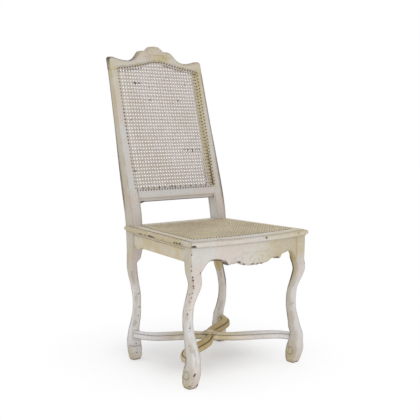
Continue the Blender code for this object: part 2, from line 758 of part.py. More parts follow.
def side_line():
    """Outer face of a side apron: its ends at the front leg and at the rear post."""
    front_x = FRONT_LEG_X + LEG_BLOCK_WIDTH / 2 - SIDE_APRON_SETBACK
    rear_x = POST_OUTER_X - SIDE_APRON_SETBACK
    front_y = FRONT_LEG_Y + LEG_BLOCK_DEPTH / 2 + CLEARANCE
    rear_y = POST_FRONT_Y - CLEARANCE
    return (front_x, front_y), (rear_x, rear_y)


def side_apron_x(y):
    """Outer face of a side apron at a place along the chair."""
    (front_x, front_y), (rear_x, rear_y) = side_line()
    return front_x + (rear_x - front_x) * (y - front_y) / (rear_y - front_y)


def side_apron(name, side, material):
    """Side apron between a front leg and a rear post, a little deeper near the post."""
    (front_x, front_y), (rear_x, rear_y) = side_line()
    stations = []
    for share, drop in SIDE_APRON_SHARES:
        x = front_x + (rear_x - front_x) * share
        y = front_y + (rear_y - front_y) * share
        low = FRAME_BOTTOM - SIDE_APRON_DROP * drop
        stations.append(((side * x, y), (side, 0.0), low, SIDE_APRON_THICKNESS))
    return apron(name, stations, material)


def rear_apron(name, material):
    """Plain rear apron between the posts, set forward from their rear faces."""
    half = POST_INNER_X - CLEARANCE
    face = POST_Y + POST_DEPTH / 2 - SIDE_APRON_SETBACK
    low = FRAME_BOTTOM - REAR_APRON_DROP
    stations = [((x, face), (0.0, 1.0), low, REAR_APRON_THICKNESS) for x in (-half, half)]
    return apron(name, stations, material)


def stretcher_path(side):
    """Stations of a bar from its rear leg over the crossing to the other front leg, with their width."""
    rear_forward, rear_wide, rear_deep = REAR_LEG_SHARES[0][1:]
    rear_x = side * (POST_OUTER_X - REAR_LEG_WIDTH * rear_wide / 2)
    rear_y = POST_Y - rear_forward * REAR_LEG_SWING - POST_DEPTH * rear_deep / 2 - CLEARANCE
    front_forward, _, front_deep = FRONT_LEG_SHARES[0][1:]
    front_x = -side * FRONT_LEG_X
    front_y = FRONT_LEG_Y - front_forward * LEG_SWING + LEG_BLOCK_DEPTH * front_deep / 2 + CLEARANCE
    middle = STRETCHER_CENTRE_Y
    rear = [(rear_x * u, middle + (rear_y - middle) * v, wide) for u, v, wide in STRETCHER_SHARES]
    front = [(front_x * u, middle + (front_y - middle) * v, wide) for u, v, wide in STRETCHER_SHARES]
    return list(reversed(rear)) + front[1:]


def sweep(name, path, profile, spare=0.0, material=None, cutter=False):
    """Carry a profile of (across, height) along a level path, its ends square to the chair.

    Each station scales the profile's width, and spare is added on both sides of it.
    """
    rings = []
    for k, (x, y, wide) in enumerate(path):
        if k in (0, len(path) - 1):
            direction = Vector((0.0, -1.0))
        else:
            direction = Vector(path[k + 1][:2]) - Vector(path[k - 1][:2])
        direction.normalize()
        across = Vector((-direction.y, direction.x))
        ring = []
        for u, z in profile:
            reach = u * wide + math.copysign(spare, u)
            ring.append((x + across.x * reach, y + across.y * reach, z))
        rings.append(ring)
    return loft(name, rings, material, cutter)


def stretcher_profile():
    """Moulded section of a stretcher: rounded body, groove and a bead on top."""
    low = STRETCHER_BOTTOM
    body = low + STRETCHER_BODY_HEIGHT
    top = STRETCHER_TOP
    half, bead, edge = STRETCHER_WIDTH / 2, STRETCHER_BEAD_WIDTH / 2, STRETCHER_EDGE
    right = (
        (half - edge, low), (half, low + edge), (half, body - edge), (half - edge, body),
        (bead, body), (bead - STRETCHER_GROOVE, body + STRETCHER_GROOVE),
        (bead, top - edge), (bead - edge, top),
    )
    return list(right) + [(-u, z) for u, z in reversed(right)]


def stretchers(material):
    """Two serpentine bars, halved into each other where they cross."""
    bars = {}
    profile = stretcher_profile()
    middle = (STRETCHER_BOTTOM + STRETCHER_TOP) / 2
    half = STRETCHER_WIDTH / 2
    for name, side in (("stretcher_under", 1), ("stretcher_over", -1)):
        bars[name] = sweep(name, stretcher_path(side), profile, material=material)
    mid = len(STRETCHER_SHARES) - 1
    for name, side, low, high in (
        ("stretcher_under", -1, middle - CLEARANCE / 2, STRETCHER_TOP + CUT_OVERRUN),
        ("stretcher_over", 1, STRETCHER_BOTTOM - CUT_OVERRUN, middle + CLEARANCE / 2),
    ):
        path = stretcher_path(side)[mid - HALVING_STATIONS : mid + HALVING_STATIONS + 1]
        section = ((half, low), (half, high), (-half, high), (-half, low))
        cut(bars[name], sweep(name + "_halving", path, section, spare=CLEARANCE, cutter=True))
    return bars


def stretcher_tenon(name, x, y, towards, gap):
    """Tongue on the end of a stretcher bar, pointing along the chair."""
    middle = (STRETCHER_BOTTOM + STRETCHER_TOP) / 2
    half_x = STRETCHER_TENON_WIDTH / 2 + gap
    half_z = STRETCHER_TENON_HEIGHT / 2 + gap
    ends = sorted((y - towards * CUT_OVERRUN, y + towards * (STRETCHER_TENON_LENGTH + gap)))
    low = (x - half_x, ends[0], middle - half_z)
    return box(name, low, (x + half_x, ends[1], middle + half_z), cutter=True)


def boss(name, material):
    """Turned boss on the crossing, with a pin into both bars."""
    base = STRETCHER_TOP + CLEARANCE
    pin = base - BOSS_PIN_LENGTH
    profile = [(0.0, pin), (BOSS_PIN_RADIUS, pin), (BOSS_PIN_RADIUS, base)]
    profile += [(BOSS_RADIUS * radius, base + BOSS_HEIGHT * height) for radius, height in BOSS_SHARES]
    profile.append((0.0, base + BOSS_HEIGHT))
    shape = bmesh.new()
    points = [shape.verts.new((radius, 0.0, z)) for radius, z in reversed(profile)]
    for a, b in zip(points, points[1:]):
        shape.edges.new((a, b))
    mesh = bpy.data.meshes.new(name)
    shape.to_mesh(mesh)
    shape.free()
    item = add_object(name, mesh, material)
    item.location = (0.0, STRETCHER_CENTRE_Y, 0.0)
    turn = item.modifiers.new("turned", "SCREW")
    turn.steps = BOSS_SIDES
    turn.render_steps = BOSS_SIDES
    turn.use_merge_vertices = True
    turn.merge_threshold = WELD_DISTANCE
    turn.use_smooth_shade = True
    return item


def net(name, place, across, along, material):
    """Flat cane net over a unit square that place bends to its seat; Solidify gives its thickness."""
    def lines(count):
        step = 1 / (count + RIM_SHARE * 2 * STRAND_SHARE - STRAND_SHARE)
        rim = RIM_SHARE * STRAND_SHARE * step
        values = [0.0]
        for i in range(count):
            start = rim + i * step
            values += [start, start + step * (1 - STRAND_SHARE)]
        values.append(1.0)
        return values

    columns, rows = lines(across), lines(along)
    shape = bmesh.new()
    grid = [[shape.verts.new(place(u, v)) for u in columns] for v in rows]
    for j in range(len(rows) - 1):
        for i in range(len(columns) - 1):
            if i % 2 == 1 and j % 2 == 1:
                continue
            shape.faces.new((grid[j][i], grid[j][i + 1], grid[j + 1][i + 1], grid[j + 1][i]))
    item = add_object(name, mesh_from(name, shape), material)
    thick = item.modifiers.new("cane", "SOLIDIFY")
    thick.thickness = CANE_THICKNESS
    thick.offset = 0.0
    thick.use_even_offset = False
    return item


def back_place(grow, depth):
    """Map a unit square to the back's cane, grown past its edge and at a depth behind the face."""
    half = POST_INNER_X + CANE_SEAT_INSET + grow
    low = BACK_RAIL_TOP - CANE_SEAT_INSET - grow

    def place(u, v):
        x = (2 * u - 1) * half
        high = opening_top(x) + CANE_SEAT_INSET + grow
        z = low + (high - low) * v
        return (x, back_front_y(z) + depth, z)

    return place


def seat_place(grow, height):
    """Map a unit square to the seat's cane, grown past its edge and at a height."""
    rear = REAR_EDGE_Y - REAR_BORDER + CANE_SEAT_INSET + grow

    def place(u, v):
        front_half = seat_corner(SIDE_BORDER, FRONT_BORDER)[0] + CANE_SEAT_INSET + grow
        front = front_edge_y((2 * u - 1) * front_half, FRONT_BORDER) - CANE_SEAT_INSET - grow
        y = rear + (front - rear) * v
        half = side_edge_x(y, SIDE_BORDER) + CANE_SEAT_INSET + grow
        return ((2 * u - 1) * half, y, height)

    return place


def slab(name, place_near, place_far, across, along):
    """Cutter between two mapped sheets: the seat of a cane panel."""
    shape = bmesh.new()
    sheets = []
    for place in (place_near, place_far):
        sheet = []
        for j in range(along + 1):
            sheet.append([shape.verts.new(place(i / across, j / along)) for i in range(across + 1)])
        sheets.append(sheet)
    for sheet in sheets:
        for j in range(along):
            for i in range(across):
                shape.faces.new((sheet[j][i], sheet[j][i + 1], sheet[j + 1][i + 1], sheet[j + 1][i]))
    rim = [(0, i) for i in range(across)] + [(j, across) for j in range(along)]
    rim += [(along, i) for i in range(across, 0, -1)] + [(j, 0) for j in range(along, 0, -1)]
    for k, (j, i) in enumerate(rim):
        jj, ii = rim[(k + 1) % len(rim)]
        shape.faces.new((sheets[0][j][i], sheets[0][jj][ii], sheets[1][jj][ii], sheets[1][j][i]))
    return add_object(name, mesh_from(name, shape), cutter=True)


def peg(name, start, end, material, *pieces):
    """Oak peg with its head a little proud, and the blind hole that it fills in each piece."""
    start, end = Vector(start), Vector(end)
    way = (end - start).normalized()
    rod(name, start - way * PEG_PROUD, end, PEG_RADIUS, material)
    reach = end + way * CLEARANCE
    hole = rod(name + "_hole", start - way * CUT_OVERRUN, reach, PEG_RADIUS + CLEARANCE, cutter=True)
    cut_each(pieces, hole)


def cut_each(pieces, tool):
    """Take one tool away from each of some pieces."""
    for piece in pieces:
        cut(piece, tool)


def tenon_box(name, low, high, gap):
    """Tongue between two corners, grown by a gap on every side."""
    spread = Vector((gap, gap, gap))
    return box(name, Vector(low) - spread, Vector(high) + spread, cutter=True)


def tongue(name, rail, holder, low, high):
    """Give a rail a tongue and its holder the mortise for it."""
    join(rail, tenon_box(name + "_tenon", low, high, 0.0))
    cut(holder, tenon_box(name + "_mortise", low, high, CLEARANCE))


def front_block_outline(side):
    """Plan of a glue block behind the front apron, notched round the leg."""
    leg_x = FRONT_LEG_X - LEG_BLOCK_WIDTH / 2 - CLEARANCE
    leg_y = FRONT_LEG_Y + LEG_BLOCK_DEPTH / 2 + CLEARANCE
    far_x, far_y = leg_x - BLOCK_LEG, leg_y + BLOCK_LEG
    apron_y = FRONT_LEG_Y - LEG_BLOCK_DEPTH / 2 + FRONT_APRON_SETBACK + APRON_THICKNESS + CLEARANCE
    bow = FRONT_APRON_BOW * (1 - (far_x / leg_x) ** 2)
    inner = SIDE_APRON_THICKNESS + CLEARANCE
    return [
        (side * leg_x, apron_y), (side * leg_x, leg_y), (side * (side_apron_x(leg_y) - inner), leg_y),
        (side * (side_apron_x(far_y) - inner), far_y), (side * far_x, apron_y - bow),
    ]


def rear_block_outline(side):
    """Plan of a glue block in front of the rear apron, notched round the post."""
    post_x = POST_INNER_X - CLEARANCE
    post_y = POST_FRONT_Y - CLEARANCE
    far_x, far_y = post_x - BLOCK_LEG, post_y - BLOCK_LEG
    apron_y = POST_Y + POST_DEPTH / 2 - SIDE_APRON_SETBACK - REAR_APRON_THICKNESS - CLEARANCE
    inner = SIDE_APRON_THICKNESS + CLEARANCE
    return [
        (side * post_x, apron_y), (side * post_x, post_y), (side * (side_apron_x(post_y) - inner), post_y),
        (side * (side_apron_x(far_y) - inner), far_y), (side * far_x, apron_y),
    ]


def build_chair():
    """Build every piece, joint by joint."""
    wood = paint("painted_wood", (0.62, 0.58, 0.53), 0.55, 0.0)
    shade_wood = paint("painted_wood_worn", (0.55, 0.50, 0.41), 0.6, 0.0)
    cane_back = paint("cane_pale", (0.60, 0.55, 0.49), 0.6, 0.0)
    cane_seat = paint("cane_tan", (0.48, 0.41, 0.28), 0.6, 0.0)
    oak = paint("peg_wood", (0.42, 0.34, 0.24), 0.6, 0.0)
    raw = paint("raw_wood", (0.46, 0.36, 0.24), 0.7, 0.0)

    sides = (("left", -1), ("right", 1))
    legs = {label: front_leg("front_leg_" + label, side, wood) for label, side in sides}
    posts = {label: rear_post("rear_post_" + label, side, wood) for label, side in sides}
    crest = crest_rail("crest_rail", wood)
    back_rail = lower_back_rail("lower_back_rail", wood)
    rails = seat_rails(wood)
    front = front_apron("front_apron", wood)
    flanks = {label: side_apron("side_apron_" + label, side, shade_wood) for label, side in sides}
    rear = rear_apron("rear_apron", wood)
    bars = stretchers(shade_wood)
    centre = boss("stretcher_boss", shade_wood)

    apron_low = FRAME_BOTTOM - SIDE_APRON_DROP + TENON_SHOULDER
    apron_high = FRAME_BOTTOM - TENON_TOP_SHOULDER
    apron_mid = (apron_low + apron_high) / 2
    block_inner = FRONT_LEG_X - LEG_BLOCK_WIDTH / 2
    block_rear = FRONT_LEG_Y + LEG_BLOCK_DEPTH / 2
    (flank_front_x, flank_front_y), (flank_rear_x, flank_rear_y) = side_line()
    half_tenon = TENON_THICKNESS / 2

    for label, side in sides:
        leg, post, flank = legs[label], posts[label], flanks[label]

        # Front apron into the front leg
        y = FRONT_LEG_Y - FRONT_TENON_FORWARD + half_tenon
        ends = sorted((side * (block_inner - CUT_OVERRUN), side * (block_inner + FRONT_TENON_LENGTH)))
        tongue(
            "front_apron_" + label, front, leg,
            (ends[0], y - TENON_THICKNESS, apron_low), (ends[1], y, apron_high),
        )
        x = side * (block_inner + FRONT_TENON_LENGTH / 2)
        face = FRONT_LEG_Y - LEG_BLOCK_DEPTH / 2
        end = (x, face + FRONT_PEG_RUN, apron_mid)
        peg("peg_front_apron_" + label, (x, face, apron_mid), end, oak, leg, front)

        # Side apron into the front leg and the rear post
        x = side * (flank_front_x - SIDE_APRON_THICKNESS / 2)
        tongue(
            "side_apron_front_" + label, flank, leg,
            (x - half_tenon, block_rear - SIDE_TENON_LENGTH, apron_low),
            (x + half_tenon, block_rear + CUT_OVERRUN, apron_high),
        )
        outer = side * (FRONT_LEG_X + LEG_BLOCK_WIDTH / 2)
        y = block_rear - SIDE_TENON_LENGTH / 2
        end = (outer - side * SIDE_PEG_RUN, y, apron_mid)
        peg("peg_side_front_" + label, (outer, y, apron_mid), end, oak, leg, flank)
        x = side * (flank_rear_x - SIDE_APRON_THICKNESS / 2)
        tongue(
            "side_apron_rear_" + label, flank, post,
            (x - half_tenon, POST_FRONT_Y - CUT_OVERRUN, apron_low),
            (x + half_tenon, POST_FRONT_Y + SIDE_TENON_LENGTH, apron_high),
        )
        outer = side * POST_OUTER_X
        y = POST_FRONT_Y + SIDE_TENON_LENGTH / 2
        end = (outer - side * SIDE_PEG_RUN, y, apron_mid)
        peg("peg_side_rear_" + label, (outer, y, apron_mid), end, oak, post, flank)

        # Rear apron into the post
        y = POST_Y + REAR_TENON_BACK
        ends = sorted((side * (POST_INNER_X - CUT_OVERRUN), side * (POST_INNER_X + REAR_TENON_LENGTH)))
        tongue(
            "rear_apron_" + label, rear, post,
            (ends[0], y - half_tenon, apron_low), (ends[1], y + half_tenon, apron_high),
        )
        x = side * (POST_INNER_X + REAR_TENON_LENGTH * REAR_PEG_SHARE)
        start = (x, POST_Y + POST_DEPTH / 2, apron_mid)
        peg("peg_rear_apron_" + label, start, (x, POST_Y + REAR_PEG_STOP, apron_mid), oak, post, rear)

        # Lower back rail into the post
        join(back_rail, back_rail_tenon("back_rail_tenon_" + label, side, 0.0))
        cut(post, back_rail_tenon("back_rail_mortise_" + label, side, CLEARANCE))
        x = side * (POST_INNER_X + BACK_RAIL_TENON_LENGTH / 2)
        z = (BACK_RAIL_BOTTOM + BACK_RAIL_TOP) / 2
        y = back_front_y(z)
        peg("peg_back_rail_" + label, (x, y, z), (x, y + BACK_PEG_RUN, z), oak, post, back_rail)

        # Post into the crest rail
        join(post, post_tenon("post_tenon_" + label, side, 0.0))
        cut(crest, post_tenon("post_mortise_" + label, side, CLEARANCE))
        x = side * POST_TOP_X
        z = CREST_JOINT_HEIGHT + POST_TENON_LENGTH / 2
        y = back_front_y(z)
        peg("peg_crest_" + label, (x, y, z), (x, y + BACK_PEG_RUN, z), oak, crest, post)

        # Seat rails round the post and on the leg
        ends = sorted((side * (POST_INNER_X - CUT_OVERRUN), side * (POST_OUTER_X + CLEARANCE)))
        notch = box(
            "seat_notch_" + label, (ends[0], POST_FRONT_Y - CLEARANCE, FRAME_BOTTOM - CUT_OVERRUN),
            (ends[1], POST_Y + POST_DEPTH / 2 + CLEARANCE, SEAT_HEIGHT + CUT_OVERRUN), cutter=True,
        )
        cut(rails["seat_rail_" + label], notch)
        ends = sorted((side * (POST_INNER_X - CUT_OVERRUN), side * (POST_INNER_X + SEAT_RAIL_TENON_LENGTH)))
        z = (FRAME_BOTTOM + SEAT_HEIGHT) / 2
        tongue(
            "seat_rear_" + label, rails["seat_rail_rear"], post,
            (ends[0], POST_Y - POST_DEPTH / 4, z - SEAT_RAIL_TENON_THICKNESS / 2),
            (ends[1], POST_Y + POST_DEPTH / 4, z + SEAT_RAIL_TENON_THICKNESS / 2),
        )
        for part, way in (("front", -1), ("side", 1)):
            x = side * (FRONT_LEG_X + way * LEG_BLOCK_WIDTH * SEAT_PEG_SHARE)
            y = FRONT_LEG_Y + way * LEG_BLOCK_DEPTH * SEAT_PEG_SHARE
            rail = rails["seat_rail_front"] if part == "front" else rails["seat_rail_" + label]
            peg(
                "peg_seat_" + part + "_" + label, (x, y, SEAT_HEIGHT - CLEARANCE),
                (x, y, FRAME_BOTTOM - SEAT_PEG_DEPTH), oak, rail, leg,
            )

        # Glue blocks in the corners of the aprons
        for part, outline in (("front", front_block_outline(side)), ("rear", rear_block_outline(side))):
            high = FRAME_BOTTOM - CLEARANCE
            plate("corner_block_" + part + "_" + label, outline, high - BLOCK_HEIGHT, high, material=raw)

    for name, side in (("stretcher_under", 1), ("stretcher_over", -1)):
        path = stretcher_path(side)
        bar = bars[name]
        for end, towards in ((0, 1), (-1, -1)):
            x, y = path[end][:2]
            label = "right" if x > 0 else "left"
            holder = posts[label] if towards > 0 else legs[label]
            tag = name + ("_rear" if towards > 0 else "_front")
            join(bar, stretcher_tenon(tag + "_tenon", x, y, towards, 0.0))
            cut(holder, stretcher_tenon(tag + "_mortise", x, y, towards, CLEARANCE))

    hole = rod(
        "boss_hole", (0.0, STRETCHER_CENTRE_Y, STRETCHER_TOP + CUT_OVERRUN),
        (0.0, STRETCHER_CENTRE_Y, STRETCHER_TOP - BOSS_PIN_LENGTH - CLEARANCE), BOSS_PIN_RADIUS + CLEARANCE,
        cutter=True, sides=BOSS_SIDES,
    )
    cut_each(bars.values(), hole)

    # Cane panels in their rebates
    depth = CANE_REBATE - CANE_THICKNESS / 2 - CLEARANCE
    net("cane_back", back_place(0.0, depth), BACK_GAPS_ACROSS, BACK_GAPS_UP, cane_back)
    rebate = slab(
        "cane_back_rebate", back_place(CANE_EDGE_GAP, CANE_REBATE), back_place(CANE_EDGE_GAP, -CUT_OVERRUN),
        BACK_SLAB_STEPS, 1,
    )
    cut_each((posts["left"], posts["right"], crest, back_rail), rebate)
    height = SEAT_HEIGHT - CANE_REBATE + CANE_THICKNESS / 2 + CLEARANCE
    net("cane_seat", seat_place(0.0, height), SEAT_GAPS_ACROSS, SEAT_GAPS_DEEP, cane_seat)
    rebate = slab(
        "cane_seat_rebate", seat_place(CANE_EDGE_GAP, SEAT_HEIGHT - CANE_REBATE),
        seat_place(CANE_EDGE_GAP, SEAT_HEIGHT + CUT_OVERRUN), SEAT_SLAB_STEPS, SEAT_SLAB_STEPS // 2,
    )
    cut_each(rails.values(), rebate)


start_scene()
build_chair()
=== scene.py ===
"""Looks of a painted cane side chair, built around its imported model."""

import logging
import math
from collections.abc import Callable, Sequence
from dataclasses import dataclass, field
from enum import Enum

import bpy
import numpy as np
from mathutils import Matrix, Vector

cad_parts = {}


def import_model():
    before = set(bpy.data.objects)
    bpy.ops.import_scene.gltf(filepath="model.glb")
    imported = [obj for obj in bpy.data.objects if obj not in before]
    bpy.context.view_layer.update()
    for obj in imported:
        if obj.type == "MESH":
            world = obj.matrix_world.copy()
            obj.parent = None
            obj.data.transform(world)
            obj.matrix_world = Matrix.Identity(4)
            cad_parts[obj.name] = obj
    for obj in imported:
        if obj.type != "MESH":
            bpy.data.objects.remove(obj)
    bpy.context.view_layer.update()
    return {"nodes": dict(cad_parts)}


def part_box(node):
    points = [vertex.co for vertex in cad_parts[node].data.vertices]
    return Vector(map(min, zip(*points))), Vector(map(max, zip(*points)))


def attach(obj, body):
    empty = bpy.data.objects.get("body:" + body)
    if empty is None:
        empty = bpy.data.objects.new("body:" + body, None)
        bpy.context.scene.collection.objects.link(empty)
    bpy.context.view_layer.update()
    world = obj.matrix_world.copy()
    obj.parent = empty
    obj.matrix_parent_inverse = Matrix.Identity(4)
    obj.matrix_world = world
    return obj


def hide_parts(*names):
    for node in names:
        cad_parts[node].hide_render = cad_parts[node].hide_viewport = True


LOG = logging.getLogger("cane_chair")
Array = np.ndarray
Point = tuple[float, float]
Rows = tuple[tuple[float, ...], ...]
Colour = tuple[float, float, float, float]

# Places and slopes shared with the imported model; lengths are in metres
SEAT_TOP = 0.460
FRAME_LOW = 0.4395
REAR_EDGE = 0.15241
FRONT_LEG_X, FRONT_LEG_Y = 0.2235, REAR_EDGE - 0.397
POST_OUTER, POST_INNER, POST_Y = 0.205, 0.1675, REAR_EDGE - 0.026
POST_WIDTH, POST_DEPTH = 0.0375, 0.038
POST_FRONT = POST_Y - POST_DEPTH / 2
BASE_LEAN, BACK_LEAN, BACK_BEND = 0.12, 0.278, 0.070
CREST_LOW, CREST_RISE, CREST_HALF = 0.985, 0.0915, 0.1995
LEG_LOW = 0.104
STRETCHER_Y = REAR_EDGE - 0.212
GAP = 0.0003

# The caning, in metres
HOLE_ROW = 0.173
PITCH, RISE_PITCH, SEAT_PITCH = HOLE_ROW / 15, 0.0120, 0.0113
SEAT_SIDE_INSET, SEAT_FRONT_INSET = 0.0425, 0.0505
UP = np.array((0.0, 0.0, 1.0))
BACK_NORMAL = np.array((0.0, -1.0, BACK_LEAN)) / math.hypot(1.0, BACK_LEAN)
BACK_SLOPE = math.hypot(1.0, BACK_LEAN)

# Paint values that every piece carries; the first holds grime and painted shade, the last holds chips and
# one painted shadow
PAINTS = ("dirt_and_shade", "edge", "warm", "chip_and_shadow")


class Slot(Enum):
    """Material slots of the record."""

    PAINT = "painted_wood"
    WORN = "painted_wood_worn"
    RAW = "raw_wood"
    PEG = "peg_wood"
    PALE_CANE = "cane_pale"
    TAN_CANE = "cane_tan"


def smooth(table: Sequence[Sequence[float]], places: Array, column: int = 1, tight: bool = False) -> Array:
    """Read a table along a smooth curve.

    Args:
        table: Rows of a place followed by values, in rising places.
        places: Places to read at.
        column: Which value to read.
        tight: Keep each stretch between its end values, for outlines with corners.

    Returns:
        One value per place.
    """
    xs = np.array([row[0] for row in table], float)
    ys = np.array([row[column] for row in table], float)
    steps = np.diff(xs)
    slopes = np.diff(ys) / steps
    tangents = np.empty_like(ys)
    tangents[0], tangents[-1] = slopes[0], slopes[-1]
    before, after = slopes[:-1], slopes[1:]
    if tight:
        product = before * after
        total = np.where(np.abs(before + after) < 1e-12, 1.0, before + after)
        tangents[1:-1] = np.where(product > 0, 2 * product / total, 0.0)
    else:
        tangents[1:-1] = (before * steps[1:] + after * steps[:-1]) / (steps[1:] + steps[:-1])
    at = np.clip(np.asarray(places, float), xs[0], xs[-1])
    i = np.clip(np.searchsorted(xs, at, side="right") - 1, 0, len(xs) - 2)
    h = steps[i]
    t = (at - xs[i]) / h
    return (
        ys[i] * (2 * t**3 - 3 * t**2 + 1) + tangents[i] * h * (t**3 - 2 * t**2 + t)
        + ys[i + 1] * (3 * t**2 - 2 * t**3) + tangents[i + 1] * h * (t**3 - t**2)
    )


def back_y(z: Array) -> Array:
    """Front face of the raked back at a height.

    Args:
        z: Heights.

    Returns:
        How far back the face lies at each height.
    """
    rise = np.maximum(np.asarray(z, float) - SEAT_TOP, 0.0)
    bend = np.minimum(rise, BACK_BEND)
    curve = (BACK_LEAN - BASE_LEAN) * bend**2 / (2 * BACK_BEND)
    return POST_FRONT + BASE_LEAN * bend + curve + BACK_LEAN * (rise - bend)


def ridge(distance: Array, width: float) -> Array:
    """Round ridge: one on its line, falling to zero at a width."""
    return np.clip(1 - (distance / width) ** 2, 0.0, 1.0) ** 1.5


def polyline_distance(x: Array, z: Array, points: Sequence[Point]) -> Array:
    """Distance of points in a plane from a bent line.

    Args:
        x: Places across.
        z: Places up.
        points: Corners of the line.

    Returns:
        The distance of each place.
    """
    best = np.full(np.broadcast(x, z).shape, 1.0)
    for (ax, az), (bx, bz) in zip(points, points[1:]):
        dx, dz = bx - ax, bz - az
        t = np.clip(((x - ax) * dx + (z - az) * dz) / max(dx * dx + dz * dz, 1e-12), 0, 1)
        best = np.minimum(best, np.hypot(x - ax - t * dx, z - az - t * dz))
    return best


def marks(points: Array, spots: Sequence[Sequence[float]]) -> Array:
    """Spots where paint is worn through or cane is stained.

    Args:
        points: Grid of points of a piece.
        spots: Rows of x, y, z and radius.

    Returns:
        How strong the spots are at each point, from 0 to 1.
    """
    worn = np.zeros(points.shape[:-1])
    for x, y, z, radius in spots:
        distance = np.linalg.norm(points - np.array((x, y, z)), axis=-1)
        worn = np.maximum(worn, np.clip(2.2 * (1 - distance / radius), 0, 1))
    return worn


def spiral_line(centre: Point, radius: float, turns: float, start: float, way: int) -> list[Point]:
    """Points of a spiral from its outer end in to its eye.

    Args:
        centre: Its middle.
        radius: Radius at its outer end.
        turns: How many turns it has.
        start: Angle of its outer end, in radians.
        way: Which way it turns, 1 or -1.

    Returns:
        The points.
    """
    points = []
    for k in range(int(turns * 18) + 1):
        t = k / (turns * 18)
        angle = start + way * t * turns * 2 * math.pi
        r = radius * (1 - 0.82 * t)
        points.append((centre[0] + r * math.cos(angle), centre[1] + r * math.sin(angle)))
    return points


@dataclass
class Skin:
    """Grid of points with paint values: how much grime and painted shade, how worn and how yellow each one
    is.
    """

    points: Array
    wrap: bool = False
    caps: bool = False
    dirt_and_shade: Array | None = None
    edge: Array | None = None
    warm: Array | None = None
    chip_and_shadow: Array | None = None

    def faces(self, offset: int = 0) -> list[list[int]]:
        """List the faces of the grid and of its closed ends.

        Args:
            offset: How many points come before the first one.

        Returns:
            The corners of each face.
        """
        rows, columns = self.points.shape[:2]
        index = np.arange(rows * columns).reshape(rows, columns) + offset
        across = np.concatenate((index, index[:, :1]), axis=1) if self.wrap else index
        quads = np.stack((across[:-1, :-1], across[:-1, 1:], across[1:, 1:], across[1:, :-1]), axis=-1)
        ends = [index[0, ::-1].tolist(), index[-1].tolist()] if self.caps else []
        return quads.reshape(-1, 4).tolist() + ends

    def paint(self, label: str) -> Array:
        """Read one paint value at every point."""
        values = getattr(self, label)
        return np.broadcast_to(0.0 if values is None else values, self.points.shape[:2]).ravel()

    def turned(self) -> "Skin":
        """Turn the skin inside out.

        Returns:
            A skin whose faces look the other way.
        """
        paint = (getattr(self, label) for label in PAINTS)
        flipped = (None if values is None else values[:, ::-1] for values in paint)
        return Skin(self.points[:, ::-1], self.wrap, self.caps, *flipped)

    def mesh(self, name: str, crease: float = 42.0) -> bpy.types.Mesh:
        """Make the mesh; its edges stay sharp above the crease angle, in degrees."""
        return join_skins(name, [self], crease)


def join_skins(name: str, skins: Sequence[Skin], crease: float | None = 42.0) -> bpy.types.Mesh:
    """Put skins in one mesh, with their paint values as attributes.

    Args:
        name: Name of the mesh.
        skins: The skins, in order.
        crease: Angle in degrees above which an edge stays sharp, or None if none does.

    Returns:
        The new mesh.
    """
    points, faces, count = [], [], 0
    for skin in skins:
        faces += skin.faces(count)
        points.append(skin.points.reshape(-1, 3))
        count += len(points[-1])
    mesh = bpy.data.meshes.new(name)
    mesh.from_pydata(np.concatenate(points).tolist(), [], faces)
    for label in PAINTS:
        values = np.concatenate([skin.paint(label) for skin in skins])
        layer = mesh.attributes.new(label, "FLOAT", "POINT")
        layer.data.foreach_set("value", values.astype(np.float32))
    mesh.shade_smooth()
    if crease is not None:
        mesh.set_sharp_from_angle(angle=math.radians(crease))
    mesh.update()
    return mesh


@dataclass(frozen=True)
class RoundedRing:
    """Rounded rectangle as a pattern of points round a post."""

    side_points: int = 10
    corner_points: int = 5

    def pattern(self) -> Array:
        """List the points as shares of the straight half-sides and of the corner radius.

        Returns:
            Rows of (x share, y share, x of the corner, y of the corner).
        """
        rows = []
        corners = ((1, 1), (-1, 1), (-1, -1), (1, -1))
        for k, (sx, sy) in enumerate(corners):
            for i in range(self.corner_points + 1):
                angle = math.pi / 2 * (k + i / self.corner_points)
                rows.append((sx, sy, math.cos(angle), math.sin(angle)))
            nx, ny = corners[(k + 1) % 4]
            angle = math.pi / 2 * (k + 1)
            for i in range(1, self.side_points):
                t = i / self.side_points
                rows.append((sx + (nx - sx) * t, sy + (ny - sy) * t, math.cos(angle), math.sin(angle)))
        return np.array(rows)

    def corner_column(self, corner: int) -> int:
        """Column of the middle of a corner, counted from (+x, +y) round by (-x, +y)."""
        return corner * (self.corner_points + self.side_points) + self.corner_points // 2

    def build(
        self, x: Array, y: Array, z: Array, width: Array, depth: Array, radius: Array
    ) -> tuple[Array, Array]:
        """Place a ring at every height.

        Args:
            x: Middle of each ring across the chair.
            y: Middle of each ring along the chair.
            z: Height of each ring.
            width: Its size across.
            depth: Its size along.
            radius: How round its corners are.

        Returns:
            The grid of points, and a grid that is 1 on the round corners and 0 on the flats.
        """
        p = self.pattern()
        r = np.minimum(radius, np.minimum(width, depth) / 2.05)
        half_x, half_y = (width / 2 - r)[:, None], (depth / 2 - r)[:, None]
        px = x[:, None] + p[:, 0] * half_x + p[:, 2] * r[:, None]
        py = y[:, None] + p[:, 1] * half_y + p[:, 3] * r[:, None]
        pz = np.broadcast_to(z[:, None], px.shape)
        corner = np.broadcast_to(np.abs(2 * p[:, 2] * p[:, 3]), px.shape)
        return np.stack((px, py, pz), axis=-1), corner


